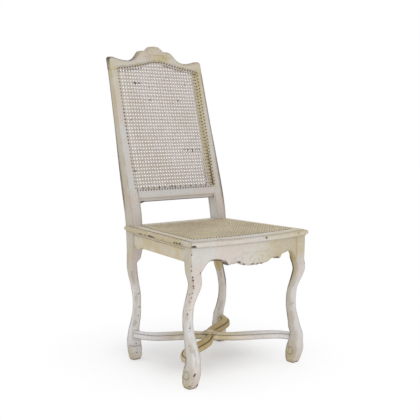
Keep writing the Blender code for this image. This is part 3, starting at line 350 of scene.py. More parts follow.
class Nodes:
    """Short-hand for making and linking the nodes of one material or world."""

    def __init__(self, owner: bpy.types.Material | bpy.types.World) -> None:
        """Start with an empty node tree.

        Args:
            owner: Material or world that the nodes belong to.
        """
        owner.use_nodes = True
        self.owner = owner
        self.tree = owner.node_tree
        self.tree.nodes.clear()

    def add(self, kind: str, inputs: dict | None = None, **settings: object) -> bpy.types.Node:
        """Add a node.

        Args:
            kind: Type of the node.
            inputs: Value or link of each input that is set.
            **settings: Other settings of the node.

        Returns:
            The new node.
        """
        node = self.tree.nodes.new(kind)
        for key, value in settings.items():
            setattr(node, key, value)
        for key, value in (inputs or {}).items():
            if isinstance(value, bpy.types.NodeSocket):
                self.tree.links.new(value, node.inputs[key])
            else:
                node.inputs[key].default_value = value
        return node

    def where(self) -> bpy.types.NodeSocket:
        """Place on the piece, in its own coordinates."""
        return self.add("ShaderNodeTexCoord").outputs["Object"]

    def math(self, operation: str, a: object, b: object) -> bpy.types.NodeSocket:
        """Add one sum of two values."""
        return self.add("ShaderNodeMath", {0: a, 1: b}, operation=operation).outputs[0]

    def vector(
        self, operation: str, a: object, b: object = (0, 0, 0), output: str = "Vector"
    ) -> bpy.types.NodeSocket:
        """Add one sum of two vectors."""
        return self.add("ShaderNodeVectorMath", {0: a, 1: b}, operation=operation).outputs[output]

    def ramp(
        self, value: object, low: float, high: float, out_low: float = 0.0, out_high: float = 1.0
    ) -> bpy.types.NodeSocket:
        """Map a value smoothly from one range to another."""
        inputs = {"Value": value, 1: low, 2: high, 3: out_low, 4: out_high}
        return self.add("ShaderNodeMapRange", inputs, interpolation_type="SMOOTHSTEP").outputs[0]

    def mix(self, share: object, a: object, b: object) -> bpy.types.NodeSocket:
        """Mix two colours."""
        return self.add("ShaderNodeMix", {0: share, 6: a, 7: b}, data_type="RGBA").outputs[2]

    def noise(
        self, where: object, scale: float, detail: float = 3.0, rough: float = 0.5, shift: float = 0.0
    ) -> bpy.types.NodeSocket:
        """Add one noise pattern.

        Args:
            where: Place to read it at.
            scale: How fine it is.
            detail: How many finer layers it has.
            rough: How strong they are.
            shift: How far it is moved, so that no two are alike.

        Returns:
            The value of the pattern.
        """
        moved = self.vector("ADD", where, (shift, shift * 0.7, -shift))
        inputs = {"Vector": moved, "Scale": scale, "Detail": detail, "Roughness": rough}
        return self.add("ShaderNodeTexNoise", inputs).outputs[0]

    def attribute(self, name: str) -> bpy.types.NodeSocket:
        """Read one of the mesh's paint values."""
        return self.add("ShaderNodeAttribute", attribute_name=name, attribute_type="GEOMETRY").outputs["Fac"]

    def bump(self, height: object, strength: float, distance: float) -> bpy.types.NodeSocket:
        """Turn a height into small unevenness of the surface."""
        inputs = {"Strength": strength, "Distance": distance, "Height": height}
        return self.add("ShaderNodeBump", inputs).outputs[0]

    def principled(self, inputs: dict) -> bpy.types.NodeSocket:
        """Add the shader of a solid surface."""
        return self.add("ShaderNodeBsdfPrincipled", inputs).outputs[0]

    def close(self, surface: bpy.types.NodeSocket) -> bpy.types.Material | bpy.types.World:
        """Give the shader to the output.

        Args:
            surface: The finished shader.

        Returns:
            The material or world.
        """
        kind = "World" if isinstance(self.owner, bpy.types.World) else "Material"
        self.add("ShaderNodeOutput" + kind, {"Surface": surface})
        return self.owner

    def seen(self) -> bpy.types.NodeSocket:
        """Tell the rays that show a surface as it is: from the camera, a gloss or a clear body.

        Returns:
            1 for such a ray, else 0.
        """
        path = self.add("ShaderNodeLightPath").outputs
        direct = self.math("MAXIMUM", path["Is Camera Ray"], path["Is Glossy Ray"])
        return self.math("MAXIMUM", direct, path["Is Transmission Ray"])


@dataclass(frozen=True)
class PaintFinish:
    """Old distressed paint over wood: blotchy, yellowed on one side with painted shade on faces turned
    toward -x, worn on the edges.
    """

    name: str
    cool: Colour = (0.560, 0.542, 0.520, 1)
    blush: Colour = (0.565, 0.502, 0.460, 1)
    cream: Colour = (0.520, 0.440, 0.265, 1)
    amber: Colour = (0.430, 0.310, 0.108, 1)
    chalk: Colour = (0.740, 0.735, 0.725, 1)
    speckle: Colour = (0.38, 0.33, 0.27, 1)
    rubbed: Colour = (0.36, 0.27, 0.17, 1)
    # Dark colour for grime, also laid on as painted shade.
    grime: Colour = (0.105, 0.075, 0.055, 1)
    # Colour where the wood shows, also laid on as a painted shadow.
    bare_and_shadow: Colour = (0.055, 0.030, 0.020, 1)
    yellow_base: float = 0.05
    side_yellow_and_shade: float = 0.50
    chip_share: float = 0.5

    def base(self, kit: Nodes, where: object, patches: object, fine: object) -> bpy.types.NodeSocket:
        """Mix the coat of paint: cool white to cream, cream also as painted shade toward -x, amber on stains
        and painted shade.

        Args:
            kit: Node tree of the material.
            where: Place on the piece.
            patches: Noise of the blotches.
            fine: Noise of the speckles.

        Returns:
            The colour of the coat.
        """
        colour = kit.mix(kit.ramp(kit.noise(where, 7.5, 3.0, 0.55, 1.3), 0.42, 0.60), self.cool, self.blush)
        # Faces turned toward -x get cream: partly yellowing, partly painted side shade.
        normal = kit.add("ShaderNodeNewGeometry").outputs["Normal"]
        facing = kit.vector("DOT_PRODUCT", normal, (-1.0, 0.12, -0.1), "Value")
        side_shade_and_yellow = kit.math("MULTIPLY", kit.ramp(facing, 0.2, 0.9), self.side_yellow_and_shade)
        warm = kit.attribute("warm")
        yellow = kit.math("ADD", kit.math("ADD", warm, side_shade_and_yellow), self.yellow_base)
        yellow = kit.math("MAXIMUM", yellow, 0.0)
        yellow = kit.math("MULTIPLY", yellow, kit.ramp(patches, 0.32, 0.70, 0.60, 1.30))
        colour = kit.mix(kit.ramp(warm, -1.0, 0.0, 1.0, 0.0), colour, self.chalk)
        colour = kit.mix(kit.math("MINIMUM", yellow, 1.0), colour, self.cream)
        # Warm values over 1 turn amber: stains, and painted shade on the right upright's inner face.
        stain_and_shade = kit.math("MULTIPLY", kit.ramp(warm, 1.0, 2.0), kit.ramp(patches, 0.35, 0.65, 0.7, 1.0))
        colour = kit.mix(stain_and_shade, colour, self.amber)
        return kit.mix(kit.ramp(fine, 0.38, 0.78, 0.0, 0.20), colour, self.speckle)

    def chipped_and_shadowed(self, kit: Nodes, where: object, edge: object, fine: object) -> bpy.types.NodeSocket:
        """Tell where the paint has come off, and where a painted shadow is laid in the same dark colour.

        Args:
            kit: Node tree of the material.
            where: Place on the piece.
            edge: How near a worn edge is.
            fine: Noise that makes the marks ragged.

        Returns:
            1 where the wood shows and where a painted shadow lies, else 0.
        """
        threshold = kit.math("SUBTRACT", 0.790, kit.math("MULTIPLY", edge, 0.25 * self.chip_share))
        chips = kit.math("SUBTRACT", kit.noise(where, 120.0, 4.0, 0.65, 9.4), threshold)
        ragged = kit.math("ADD", kit.attribute("chip_and_shadow"), kit.ramp(fine, 0.3, 0.7, -0.25, 0.25))
        return kit.math("MAXIMUM", kit.ramp(chips, 0.0, 0.025), kit.ramp(ragged, 0.20, 0.45))

    def build(self) -> bpy.types.Material:
        """Make the material.

        Returns:
            The finished node material.
        """
        kit = Nodes(bpy.data.materials.new(self.name))
        where = kit.where()
        stretch = kit.add("ShaderNodeMapping", {"Vector": where, "Scale": (1.0, 1.0, 0.22)}).outputs[0]
        patches = kit.noise(where, 21.0, 4.0, 0.6, 4.1)
        fine = kit.noise(where, 150.0, 3.0, 0.6, 7.7)
        brushed = kit.noise(stretch, 260.0, 2.0, 0.5, 2.2)
        edge = kit.attribute("edge")
        worn = kit.math("MULTIPLY", edge, kit.ramp(patches, 0.36, 0.62))
        colour = kit.mix(kit.math("MULTIPLY", worn, 0.62), self.base(kit, where, patches, fine), self.rubbed)
        # Darken toward the grime colour: grime, and painted shade where a piece sets it.
        dirt_and_shade = kit.math("MULTIPLY", kit.attribute("dirt_and_shade"), kit.ramp(fine, 0.22, 0.62, 0.65, 1.20))
        colour = kit.mix(kit.math("MINIMUM", dirt_and_shade, 1.0), colour, self.grime)
        chipped_and_shadowed = self.chipped_and_shadowed(kit, where, edge, fine)
        colour = kit.mix(kit.math("MULTIPLY", chipped_and_shadowed, 0.94), colour, self.bare_and_shadow)
        height = kit.math("ADD", kit.math("MULTIPLY", brushed, 0.5), kit.math("MULTIPLY", fine, 0.6))
        height = kit.math("SUBTRACT", height, kit.math("MULTIPLY", chipped_and_shadowed, 1.2))
        rough = kit.ramp(fine, 0.3, 0.7, 0.50, 0.68)
        bump = kit.bump(height, 0.35, 0.0007)
        inputs = {"Base Color": colour, "Roughness": rough, "Normal": bump, "IOR": 1.4}
        return kit.close(kit.principled(inputs))


@dataclass(frozen=True)
class CaneFinish:
    """Split cane: fine grain along the strand, glossy skin, darker where it is old."""

    name: str
    pale: Colour
    deep: Colour
    amber: Colour = (0.54, 0.44, 0.20, 1)
    fibre: Colour = (0.30, 0.24, 0.16, 1)
    grime: Colour = (0.09, 0.06, 0.035, 1)
    rough: float = 0.5

    def build(self) -> bpy.types.Material:
        """Make the material.

        Returns:
            The finished node material.
        """
        kit = Nodes(bpy.data.materials.new(self.name))
        where = kit.where()
        broad = kit.noise(where, 9.0, 3.0, 0.6, 3.0)
        patch = kit.noise(where, 42.0, 3.0, 0.6, 6.0)
        grain = kit.noise(where, 700.0, 2.0, 0.5, 5.0)
        warm = kit.attribute("warm")
        old = kit.math("ADD", kit.ramp(broad, 0.36, 0.66, 0.0, 0.40), kit.ramp(patch, 0.35, 0.7, 0.0, 0.35))
        old = kit.math("MINIMUM", kit.math("ADD", old, warm), 1.0)
        colour = kit.mix(old, self.pale, self.deep)
        colour = kit.mix(kit.ramp(grain, 0.4, 0.75, 0.0, 0.22), colour, self.fibre)
        colour = kit.mix(kit.ramp(warm, 1.0, 2.0), colour, self.amber)
        dirt_and_shade = kit.math("MULTIPLY", kit.attribute("dirt_and_shade"), kit.ramp(patch, 0.3, 0.7, 0.7, 1.1))
        colour = kit.mix(kit.math("MINIMUM", dirt_and_shade, 1.0), colour, self.grime)
        bump = kit.bump(grain, 0.3, 0.0003)
        return kit.close(kit.principled({"Base Color": colour, "Roughness": self.rough, "Normal": bump}))


@dataclass(frozen=True)
class WoodFinish:
    """Unpainted wood with a straight grain."""

    name: str
    light: Colour
    dark: Colour

    def build(self) -> bpy.types.Material:
        """Make the material.

        Returns:
            The finished node material.
        """
        kit = Nodes(bpy.data.materials.new(self.name))
        long = kit.add("ShaderNodeMapping", {"Vector": kit.where(), "Scale": (14.0, 14.0, 1.2)}).outputs[0]
        grain = kit.noise(long, 22.0, 5.0, 0.65, 2.0)
        colour = kit.mix(kit.ramp(grain, 0.3, 0.7), self.light, self.dark)
        rough, bump = kit.ramp(grain, 0.3, 0.7, 0.6, 0.8), kit.bump(grain, 0.4, 0.0004)
        return kit.close(kit.principled({"Base Color": colour, "Roughness": rough, "Normal": bump}))


@dataclass
class Workshop:
    """Holds the finishes and puts each piece in its place on the frame."""

    nodes: dict
    finishes: dict[Slot, bpy.types.Material] = field(default_factory=dict)
    count: int = 0

    def place(self, name: str, mesh: bpy.types.Mesh, slot: Slot, *replaced: str) -> bpy.types.Object:
        """Add a piece that rides on the chair.

        Args:
            name: Name of the piece.
            mesh: Its mesh, in the row frame.
            slot: Its material slot.
            replaced: CAD nodes that it stands for.

        Returns:
            The new object.
        """
        item = bpy.data.objects.new(name, mesh)
        bpy.context.scene.collection.objects.link(item)
        mesh.materials.clear()
        mesh.materials.append(self.finishes[slot])
        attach(item, "root")
        if replaced:
            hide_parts(*replaced)
        self.count += 1
        LOG.info("%s: %d points", name, len(mesh.vertices))
        return item


FOOT_TABLE = (
    (0.00, -0.25, 0.80, 0.54), (0.09, -0.24, 0.94, 0.65), (0.25, -0.20, 1.00, 0.77),
    (0.47, -0.10, 1.00, 0.91), (0.70, 0.03, 1.00, 0.97), (0.88, 0.12, 0.98, 0.94),
    (1.00, 0.16, 0.94, 0.88),
)


@dataclass(frozen=True)
class Foot:
    """Scroll foot: size, place, and which way it points."""

    y: float
    width: float
    depth: float
    way: int
    height: float = 0.071

    def stations(self) -> list[tuple[float, float, float, float]]:
        """List the foot's sections from the floor up.

        Returns:
            Rows of height, middle, width and depth.
        """
        rows = []
        for up, forward, wide, deep in FOOT_TABLE:
            middle = self.y - self.way * forward * self.depth / 2
            rows.append((self.height * up, middle, self.width * wide, self.depth * deep))
        return rows

    def carve(self, points: Array, x: float) -> tuple[Array, Array]:
        """Cut a volute in both sides of the foot.

        Args:
            points: Grid of points of the leg.
            x: Middle of the leg across the chair.

        Returns:
            How deep each point is cut, and how much grime lies there.
        """
        y, z = points[..., 1], points[..., 2]
        eye = (self.y + self.way * 0.004, 0.046 if self.way > 0 else 0.036)
        start = math.pi / 2 - self.way * 0.4
        line = spiral_line(eye, 0.0235, 1.30, start, -self.way)
        distance = polyline_distance(y, z, line)
        side = np.clip((np.abs(points[..., 0] - x) / (self.width / 2) - 0.8) / 0.12, 0, 1)
        cut = ridge(distance, 0.0024) * side
        boss = ridge(np.hypot(y - eye[0], z - eye[1]), 0.0055) * side
        return 0.0016 * cut - 0.0012 * boss, (0.55 if self.way > 0 else 0.12) * cut


# In the left leg's rows, the one at 0.009 is a dark spot at the bottom of the foot's front.
LEG_WEAR = {
    -1: (
        (0.420, 0.0, 0.0024), (0.387, 0.0, 0.0022), (0.373, 0.0, 0.0026), (0.353, 0.04, 0.0034),
        (0.343, 0.02, 0.0036), (0.327, 0.0, 0.0026), (0.318, 0.03, 0.0024), (0.303, 0.0, 0.0026),
        (0.297, -0.30, 0.0028), (0.288, 0.04, 0.0026), (0.274, 0.0, 0.0024), (0.262, -0.2, 0.0020),
        (0.246, 0.06, 0.0020), (0.233, 0.0, 0.0024), (0.361, 0.86, 0.0030), (0.190, 0.05, 0.0016),
        (0.053, 0.10, 0.0044), (0.049, 0.05, 0.0036), (0.009, 0.96, 0.0080), (0.012, 0.0, 0.0030),
    ),
    1: ((0.346, 0.98, 0.0034), (0.205, 0.05, 0.0016)),
}
POST_WEAR = ((0.231, 0), (0.185, 1), (0.155, 0), (0.130, -1), (0.102, 1), (0.057, 3), (0.027, 5))


@dataclass(frozen=True)
class FrontLeg:
    """Front leg: block, knee, ankle and scroll foot in one piece.

    A row of its table gives a height from ankle to block, a swing, a width and a depth, all as shares.
    """

    side: int
    foot: Foot = Foot(FRONT_LEG_Y, 0.038, 0.056, 1)
    swing: float = 0.024
    width: float = 0.040
    depth: float = 0.036
    ring: RoundedRing = RoundedRing(26, 6)
    table: Rows = (
        (0.00, 0.29, 0.85, 1.14), (0.06, -0.03, 0.83, 1.17), (0.13, -0.27, 0.80, 1.07),
        (0.22, -0.61, 0.75, 0.99), (0.31, -0.88, 0.73, 0.95), (0.40, -0.96, 0.73, 0.92),
        (0.49, -0.91, 0.74, 0.87), (0.58, -0.70, 0.74, 0.83), (0.67, -0.28, 0.78, 0.83),
        (0.76, 0.18, 0.85, 0.87), (0.83, 0.42, 0.90, 0.85), (0.90, 0.29, 0.95, 0.87),
        (0.96, 0.04, 0.99, 0.95), (1.00, 0.00, 1.00, 1.00),
    )
    block_low: float = FRAME_LOW * 0.845
    radii: Rows = ((0.0, 0.006), (0.07, 0.010), (0.28, 0.010), (0.35, 0.0050), (0.44, 0.0035))

    def body(self) -> tuple[Array, Array]:
        """Shape the leg, with its rings closest where the carving is.

        Returns:
            The grid of points, and a grid that is 1 on the round corners.
        """
        high = FRAME_LOW - GAP
        z = np.concatenate((
            np.linspace(0, 0.078, 60), np.linspace(0.080, 0.371, 190), np.linspace(0.3725, high, 40),
        ))
        rows = self.foot.stations()
        for up, forward, wide, deep in self.table:
            height = LEG_LOW + (self.block_low - LEG_LOW) * up
            rows.append((height, FRONT_LEG_Y - forward * self.swing, self.width * wide, self.depth * deep))
        rows.append((high, FRONT_LEG_Y, self.width, self.depth))
        middle, wide, deep = (smooth(rows, z, k) for k in (1, 2, 3))
        x = np.full_like(z, self.side * FRONT_LEG_X)
        return self.ring.build(x, middle, z, wide, deep, smooth(self.radii, z))

    def chips(self, points: Array) -> Array:
        """Chips in the paint down the outer arris.

        Args:
            points: Grid of points of the leg.

        Returns:
            How far each point is worn.
        """
        column = self.ring.corner_column(2)
        span = self.ring.side_points + self.ring.corner_points
        chip_and_shadow = np.zeros(points.shape[:2])
        for height, over, size in LEG_WEAR[self.side]:
            row = int(np.argmin(np.abs(points[:, 0, 2] - height)))
            spot = points[row, column + round(over * span)]
            chip_and_shadow = np.maximum(chip_and_shadow, marks(points, [(*spot, size)]))
        return chip_and_shadow

    def warmth(self, points: Array) -> Array:
        """Yellowing: strong at the feet, and on the right leg at the knee; the shaft is chalky.

        Args:
            points: Grid of points of the leg.

        Returns:
            How yellow each point is.
        """
        z = points[..., 2]
        pale = np.clip((0.37 - z) / 0.08, 0, 1) * np.clip((z + 0.02) / 0.08, 0, 1)
        warm = 0.50 * np.clip(1 - z / 0.09, 0, 1) - (0.38 if self.side < 0 else 0.24) * pale
        if self.side < 0:
            return warm * (1 - np.clip((points[..., 0] + FRONT_LEG_X) / 0.018, 0, 1))
        inner = near_column(points.shape[1], self.ring.corner_column(1) + 8, 9.0)
        knee = inner * np.clip(1.7 - np.abs(z - 0.335) / 0.045, 0, 1)
        return warm + 0.60 * np.clip((z - 0.33) / 0.06, 0, 1) + 1.6 * knee

    def grime(self, points: Array) -> Array:
        """Grime on the sole and in broken lines along the arrises, a dark patch at the right leg's knee, and
        painted shade on its block.

        Args:
            points: Grid of points of the leg.

        Returns:
            How dark each point is made.
        """
        z, columns = points[..., 2], points.shape[1]
        first, second, third = (self.ring.corner_column(k) + 3 for k in (1, 2, 3))
        rims = near_column(columns, first, 3.0) + near_column(columns, third, 3.0)
        broken = np.clip(0.25 + 0.40 * np.sin(z * 83 + self.side) * np.sin(z * 37 + 1), 0, 0.5) * (z < 0.40)
        layers = [0.75 * np.clip(1 - z / 0.008, 0, 1), rims * broken]
        if self.side > 0:
            # Painted shade: the right leg's block darkens upward.
            layers.append(0.09 * np.clip((z - 0.33) / 0.06, 0, 1))
            knee = np.clip(1.8 - np.abs(z - 0.325) / 0.036, 0, 1)
            layers.append(1.10 * knee * near_column(columns, first, 4.0))
        else:
            streak = np.clip(0.30 + 0.40 * np.sin(z * 120) * np.sin(z * 53 + 1), 0, 0.6) * (z < 0.21)
            layers.append(streak * near_column(columns, second + 1, 1.8))
        return np.maximum.reduce(layers)

    def build(self, shop: Workshop) -> None:
        """Make the leg and put it in place.

        Args:
            shop: Workshop that it goes to.
        """
        points, corner = self.body()
        x = self.side * FRONT_LEG_X
        cut, scroll = self.foot.carve(points, x)
        points[..., 0] -= np.sign(points[..., 0] - x) * cut
        dirt_and_shade = np.maximum(scroll, self.grime(points))
        skin = Skin(points, True, True, dirt_and_shade, corner, self.warmth(points), self.chips(points))
        name = "front_leg_" + side_name(self.side)
        shop.place(name + "_carved", skin.mesh(name), Slot.PAINT, name)


def near_column(count: int, column: int, reach: float = 2.4) -> Array:
    """Share that falls off on both sides of one column of a ring."""
    return np.exp(-(((np.arange(count) - column) / reach) ** 2))[None, :]


def side_name(side: int) -> str:
    """Name of the chair's side."""
    return "right" if side > 0 else "left"


@dataclass(frozen=True)
class RearPost:
    """Rear post: scroll foot, bent leg, block and the upright of the back.

    A row of its table gives a height from ankle to seat, a swing, a width and a depth, all as shares.
    """

    side: int
    foot: Foot = Foot(POST_Y - 0.011, 0.038, 0.046, -1)
    swing: float = 0.026
    width: float = 0.029
    ring: RoundedRing = RoundedRing(18, 6)
    table: Rows = (
        (0.00, 0.28, 1.06, 0.94), (0.06, 0.52, 1.02, 0.85), (0.12, 0.77, 1.00, 0.83),
        (0.20, 0.96, 0.97, 0.76), (0.29, 1.00, 0.96, 0.73), (0.38, 0.86, 0.96, 0.79),
        (0.47, 0.48, 0.97, 0.79), (0.56, 0.02, 1.00, 0.83), (0.63, -0.17, 1.00, 0.86),
        (0.690, -0.18, 1.02, 0.88), (0.705, -0.12, 1.14, 0.93), (0.725, -0.03, 1.25, 0.98),
        (0.745, 0.00, 1.293, 1.00),
    )
    upright: tuple[float, ...] = (SEAT_TOP, 0.4775, 0.495, 0.5125, 0.53, 0.68, 0.83, CREST_LOW - GAP)
    top_width: float = 0.032
    top_depth: float = 0.026
    radii: Rows = ((0.0, 0.006), (0.07, 0.0095), (0.31, 0.0095), (0.36, 0.0045), (1.0, 0.0045))
    lip: float = 0.049

    def stations(self) -> list[tuple[float, ...]]:
        """List height, middle across, middle along, width and depth from the floor up.

        Returns:
            One row per station.
        """
        rows = []
        for z, y, wide, deep in self.foot.stations():
            rows.append((z, POST_OUTER - self.width / 2, y, wide, deep))
        for up, forward, share, deep in self.table:
            wide = min(self.width * share, POST_WIDTH)
            height = LEG_LOW + (FRAME_LOW - LEG_LOW) * up
            middle = POST_Y - forward * self.swing
            rows.append((height, POST_OUTER - wide / 2, middle, wide, POST_DEPTH * deep))
        rows.append((FRAME_LOW, POST_OUTER - POST_WIDTH / 2, POST_Y, POST_WIDTH, POST_DEPTH))
        for height in self.upright:
            share = (height - SEAT_TOP) / (CREST_LOW - SEAT_TOP)
            wide = POST_WIDTH - (POST_WIDTH - self.top_width) * share
            deep = POST_DEPTH - (POST_DEPTH - self.top_depth) * share
            rows.append((height, POST_INNER + wide / 2, float(back_y(height)) + deep / 2, wide, deep))
        return rows

    def body(self) -> tuple[Array, Array, Array]:
        """Shape the post and its scroll foot.

        Returns:
            The grid of points, a grid that is 1 on the round corners, and the grime of the scroll.
        """
        rows = self.stations()
        z = np.concatenate((
            np.linspace(0, 0.078, 60), np.linspace(0.080, 0.330, 100), np.linspace(0.332, 0.362, 22),
            np.linspace(0.366, 0.53, 50), np.linspace(0.54, rows[-1][0], 60),
        ))
        x, y, wide, deep = (smooth(rows, z, k) for k in (1, 2, 3, 4))
        x = self.side * x
        points, corner = self.ring.build(x, y, z, wide, deep, smooth(self.radii, z))
        cut, grime = self.foot.carve(points, self.side * (POST_OUTER - self.width / 2))
        front = points[..., 1] < y[:, None]
        lip = ridge(np.abs(points[..., 2] - self.lip), 0.0024) * front
        points[..., 0] -= np.sign(points[..., 0] - x[:, None]) * cut
        points[..., 1] += 0.0012 * lip
        return points, corner, np.maximum(grime, 0.6 * lip)

    def build(self, shop: Workshop) -> None:
        """Make the post and put it in place.

        Args:
            shop: Workshop that it goes to.
        """
        points, corner, scroll = self.body()
        sole = 0.75 * np.clip(1 - points[..., 2] / 0.007, 0, 1)
        dirt_and_shade = np.maximum.reduce((scroll, sole, self.outline(points)))
        skin = Skin(points, True, True, dirt_and_shade, corner, self.warmth(points), self.wear(points))
        name = "rear_post_" + side_name(self.side)
        shop.place(name + "_carved", skin.mesh(name), Slot.PAINT, name)

    def outline(self, points: Array) -> Array:
        """A dark line along the outer arris of the upright, and painted shade on its inner side behind the
        cane.

        Args:
            points: Grid of points of the post.

        Returns:
            How dark each point is made.
        """
        x, z, columns = points[..., 0], points[..., 2], points.shape[1]
        first, third = self.ring.corner_column(1), self.ring.corner_column(3)
        outer = near_column(columns, third if self.side > 0 else first, 4.6)
        broken = np.clip(0.25 + 0.40 * np.sin(z * 71 + self.side) * np.sin(z * 41 + 2), 0, 0.5) * (z < 0.42)
        layers = [1.20 * outer * np.clip((z - 0.50) / 0.05, 0, 1)]
        layers += [broken * near_column(columns, column + 2, 2.6) for column in (first, third)]
        if self.side > 0:
            # Painted shade on the right upright's inner face, seen through the cane.
            shaded_inner_face = (x < POST_INNER + 0.0006) * (z > 0.582) * (z < 0.992)
            layers.append(1.20 * shaded_inner_face * np.clip(1.6 - (points[..., 1] - back_y(z)) / 0.013, 0, 1))
            for column, height, reach in ((third, 0.255, 0.030), (first, 0.170, 0.035)):
                near = np.clip(1.8 - np.abs(z - height) / reach, 0, 1)
                layers.append(1.05 * near * near_column(columns, column, 4.0))
        return np.maximum.reduce(layers)

    def wear(self, points: Array) -> Array:
        """Worn spots on the front arris of the left leg.

        Args:
            points: Grid of points of the post.

        Returns:
            How far each point is worn.
        """
        worn = np.zeros(points.shape[:-1])
        if self.side > 0:
            return worn
        column = self.ring.corner_column(2) + 3
        for height, over in POST_WEAR:
            row = int(np.argmin(np.abs(points[:, column, 2] - height)))
            worn = np.maximum(worn, marks(points, [(*points[row, column + over], 0.0026)]))
        return worn

    def warmth(self, points: Array) -> Array:
        """Yellowing: at the feet and the tops, and on the right upright near the cane, with amber painted
        shade on its inner face behind the cane.

        Args:
            points: Grid of points of the post.

        Returns:
            How yellow each point is.
        """
        x, y, z = points[..., 0], points[..., 1], points[..., 2]
        pale = np.clip((0.33 - z) / 0.08, 0, 1) * np.clip((z + 0.02) / 0.08, 0, 1)
        pale = pale * (0.62 if self.side < 0 else 0.38)
        own = 0.55 * np.clip(1 - z / 0.09, 0, 1) - pale + 0.46 * np.clip((z - 0.80) / 0.16, 0, 1)
        if self.side < 0:
            return own
        inner = np.clip((POST_INNER + 0.024 - x) / 0.010, 0, 1) * (z > 0.57)
        front = np.clip((back_y(z) + 0.012 - y) / 0.006, 0, 1)
        # Painted shade: amber on the inner face behind the cane.
        shaded_inner_face = (x < POST_INNER + 0.0006) * ((z > 0.582) * 1.9 + (z > SEAT_TOP) * -0.45)
        under = marks(points, [(POST_INNER + 0.012, POST_Y - 0.022, 0.297, 0.034)])
        return np.where(shaded_inner_face != 0, shaded_inner_face, own + 0.60 * inner * front + 1.8 * under)


def shell(x: Array, z: Array, radius: float, lobes: int, way: int) -> tuple[Array, Array]:
    """Carve a fan shell about a point.

    Args:
        x: Places across, from the middle of the shell.
        z: Places up, from the root of the shell.
        radius: Length of its flutes.
        lobes: How many flutes it has.
        way: 1 if it opens upward, -1 if it opens downward.

    Returns:
        How far it stands out, and how much grime lies between the flutes.
    """
    r = np.hypot(x, z)
    angle = np.arctan2(x, z * way)
    flute = np.cos(angle * lobes)
    rim = radius * (1 - 0.05 * (1 - flute))
    inside = np.clip((rim - r) / 0.0025, 0, 1) * np.clip((1.75 - np.abs(angle)) / 0.15, 0, 1)
    body = 0.0026 * np.sqrt(np.clip(1 - (r / radius) ** 2, 0, 1)) + 0.0006
    grooves = 0.0010 * (1 - flute) / 2 * np.clip(r / radius * 1.6, 0.15, 1)
    boss = 0.0022 * ridge(r, radius * 0.24)
    line = ((1 - flute) / 2) ** 4 * np.clip(r / radius * 1.5, 0, 1)
    return inside * (body - grooves + boss), inside * 0.26 * line


def leaf(x: Array, z: Array, start: Point, end: Point, width: float = 0.0045) -> tuple[Array, Array]:
    """Carve a pointed leaf with a vein between two points.

    Args:
        x: Places across.
        z: Places up.
        start: Where the leaf starts.
        end: Its point.
        width: Half its greatest width.

    Returns:
        How far it stands out, and how much grime lies in its vein.
    """
    dx, dz = end[0] - start[0], end[1] - start[1]
    length = math.hypot(dx, dz)
    along = ((x - start[0]) * dx + (z - start[1]) * dz) / length
    across = ((x - start[0]) * dz - (z - start[1]) * dx) / length
    t = along / length
    half = width * np.sin(np.pi * np.clip(t, 0, 1)) ** 0.8
    inside = (t > 0) & (t < 1)
    body = np.where(inside, np.clip(1 - (across / np.maximum(half, 1e-5)) ** 2, 0, 1), 0.0)
    vein = ridge(across, 0.0012) * inside
    return 0.0014 * np.sqrt(body) * (1 - 0.5 * vein), 0.35 * vein * (body > 0)


class Relief:
    """Carving on a flat face, gathered stroke by stroke."""

    def __init__(self, x: Array, z: Array) -> None:
        """Start with a plain face.

        Args:
            x: Places across of the face's points.
            z: Places up of the face's points.
        """
        self.x, self.z = x, z
        self.raised = np.zeros(np.broadcast(x, z).shape)
        self.dirt_and_shade = np.zeros_like(self.raised)

    def add(self, raised: Array, dirt_and_shade: Array) -> None:
        """Lay one carved form over what is there."""
        self.raised = np.maximum(self.raised, raised)
        self.dirt_and_shade = np.maximum(self.dirt_and_shade, dirt_and_shade)

    def bead(self, points: Sequence[Point], width: float, height: float, dirty: float = 0.3) -> None:
        """Run a raised bead along a line, with grime on both sides of it."""
        distance = polyline_distance(self.x, self.z, points)
        self.add(height * ridge(distance, width), dirty * ridge(distance - width, width * 0.5))

    def groove(self, points: Sequence[Point], width: float, depth: float, dirty: float = 0.7) -> None:
        """Cut a groove along a line.

        Args:
            points: Points of the line.
            width: Half the groove's width.
            depth: Its depth.
            dirty: How much grime lies in it.
        """
        cut = ridge(polyline_distance(self.x, self.z, points), width)
        self.raised = self.raised - depth * cut
        self.dirt_and_shade = np.maximum(self.dirt_and_shade, dirty * cut)


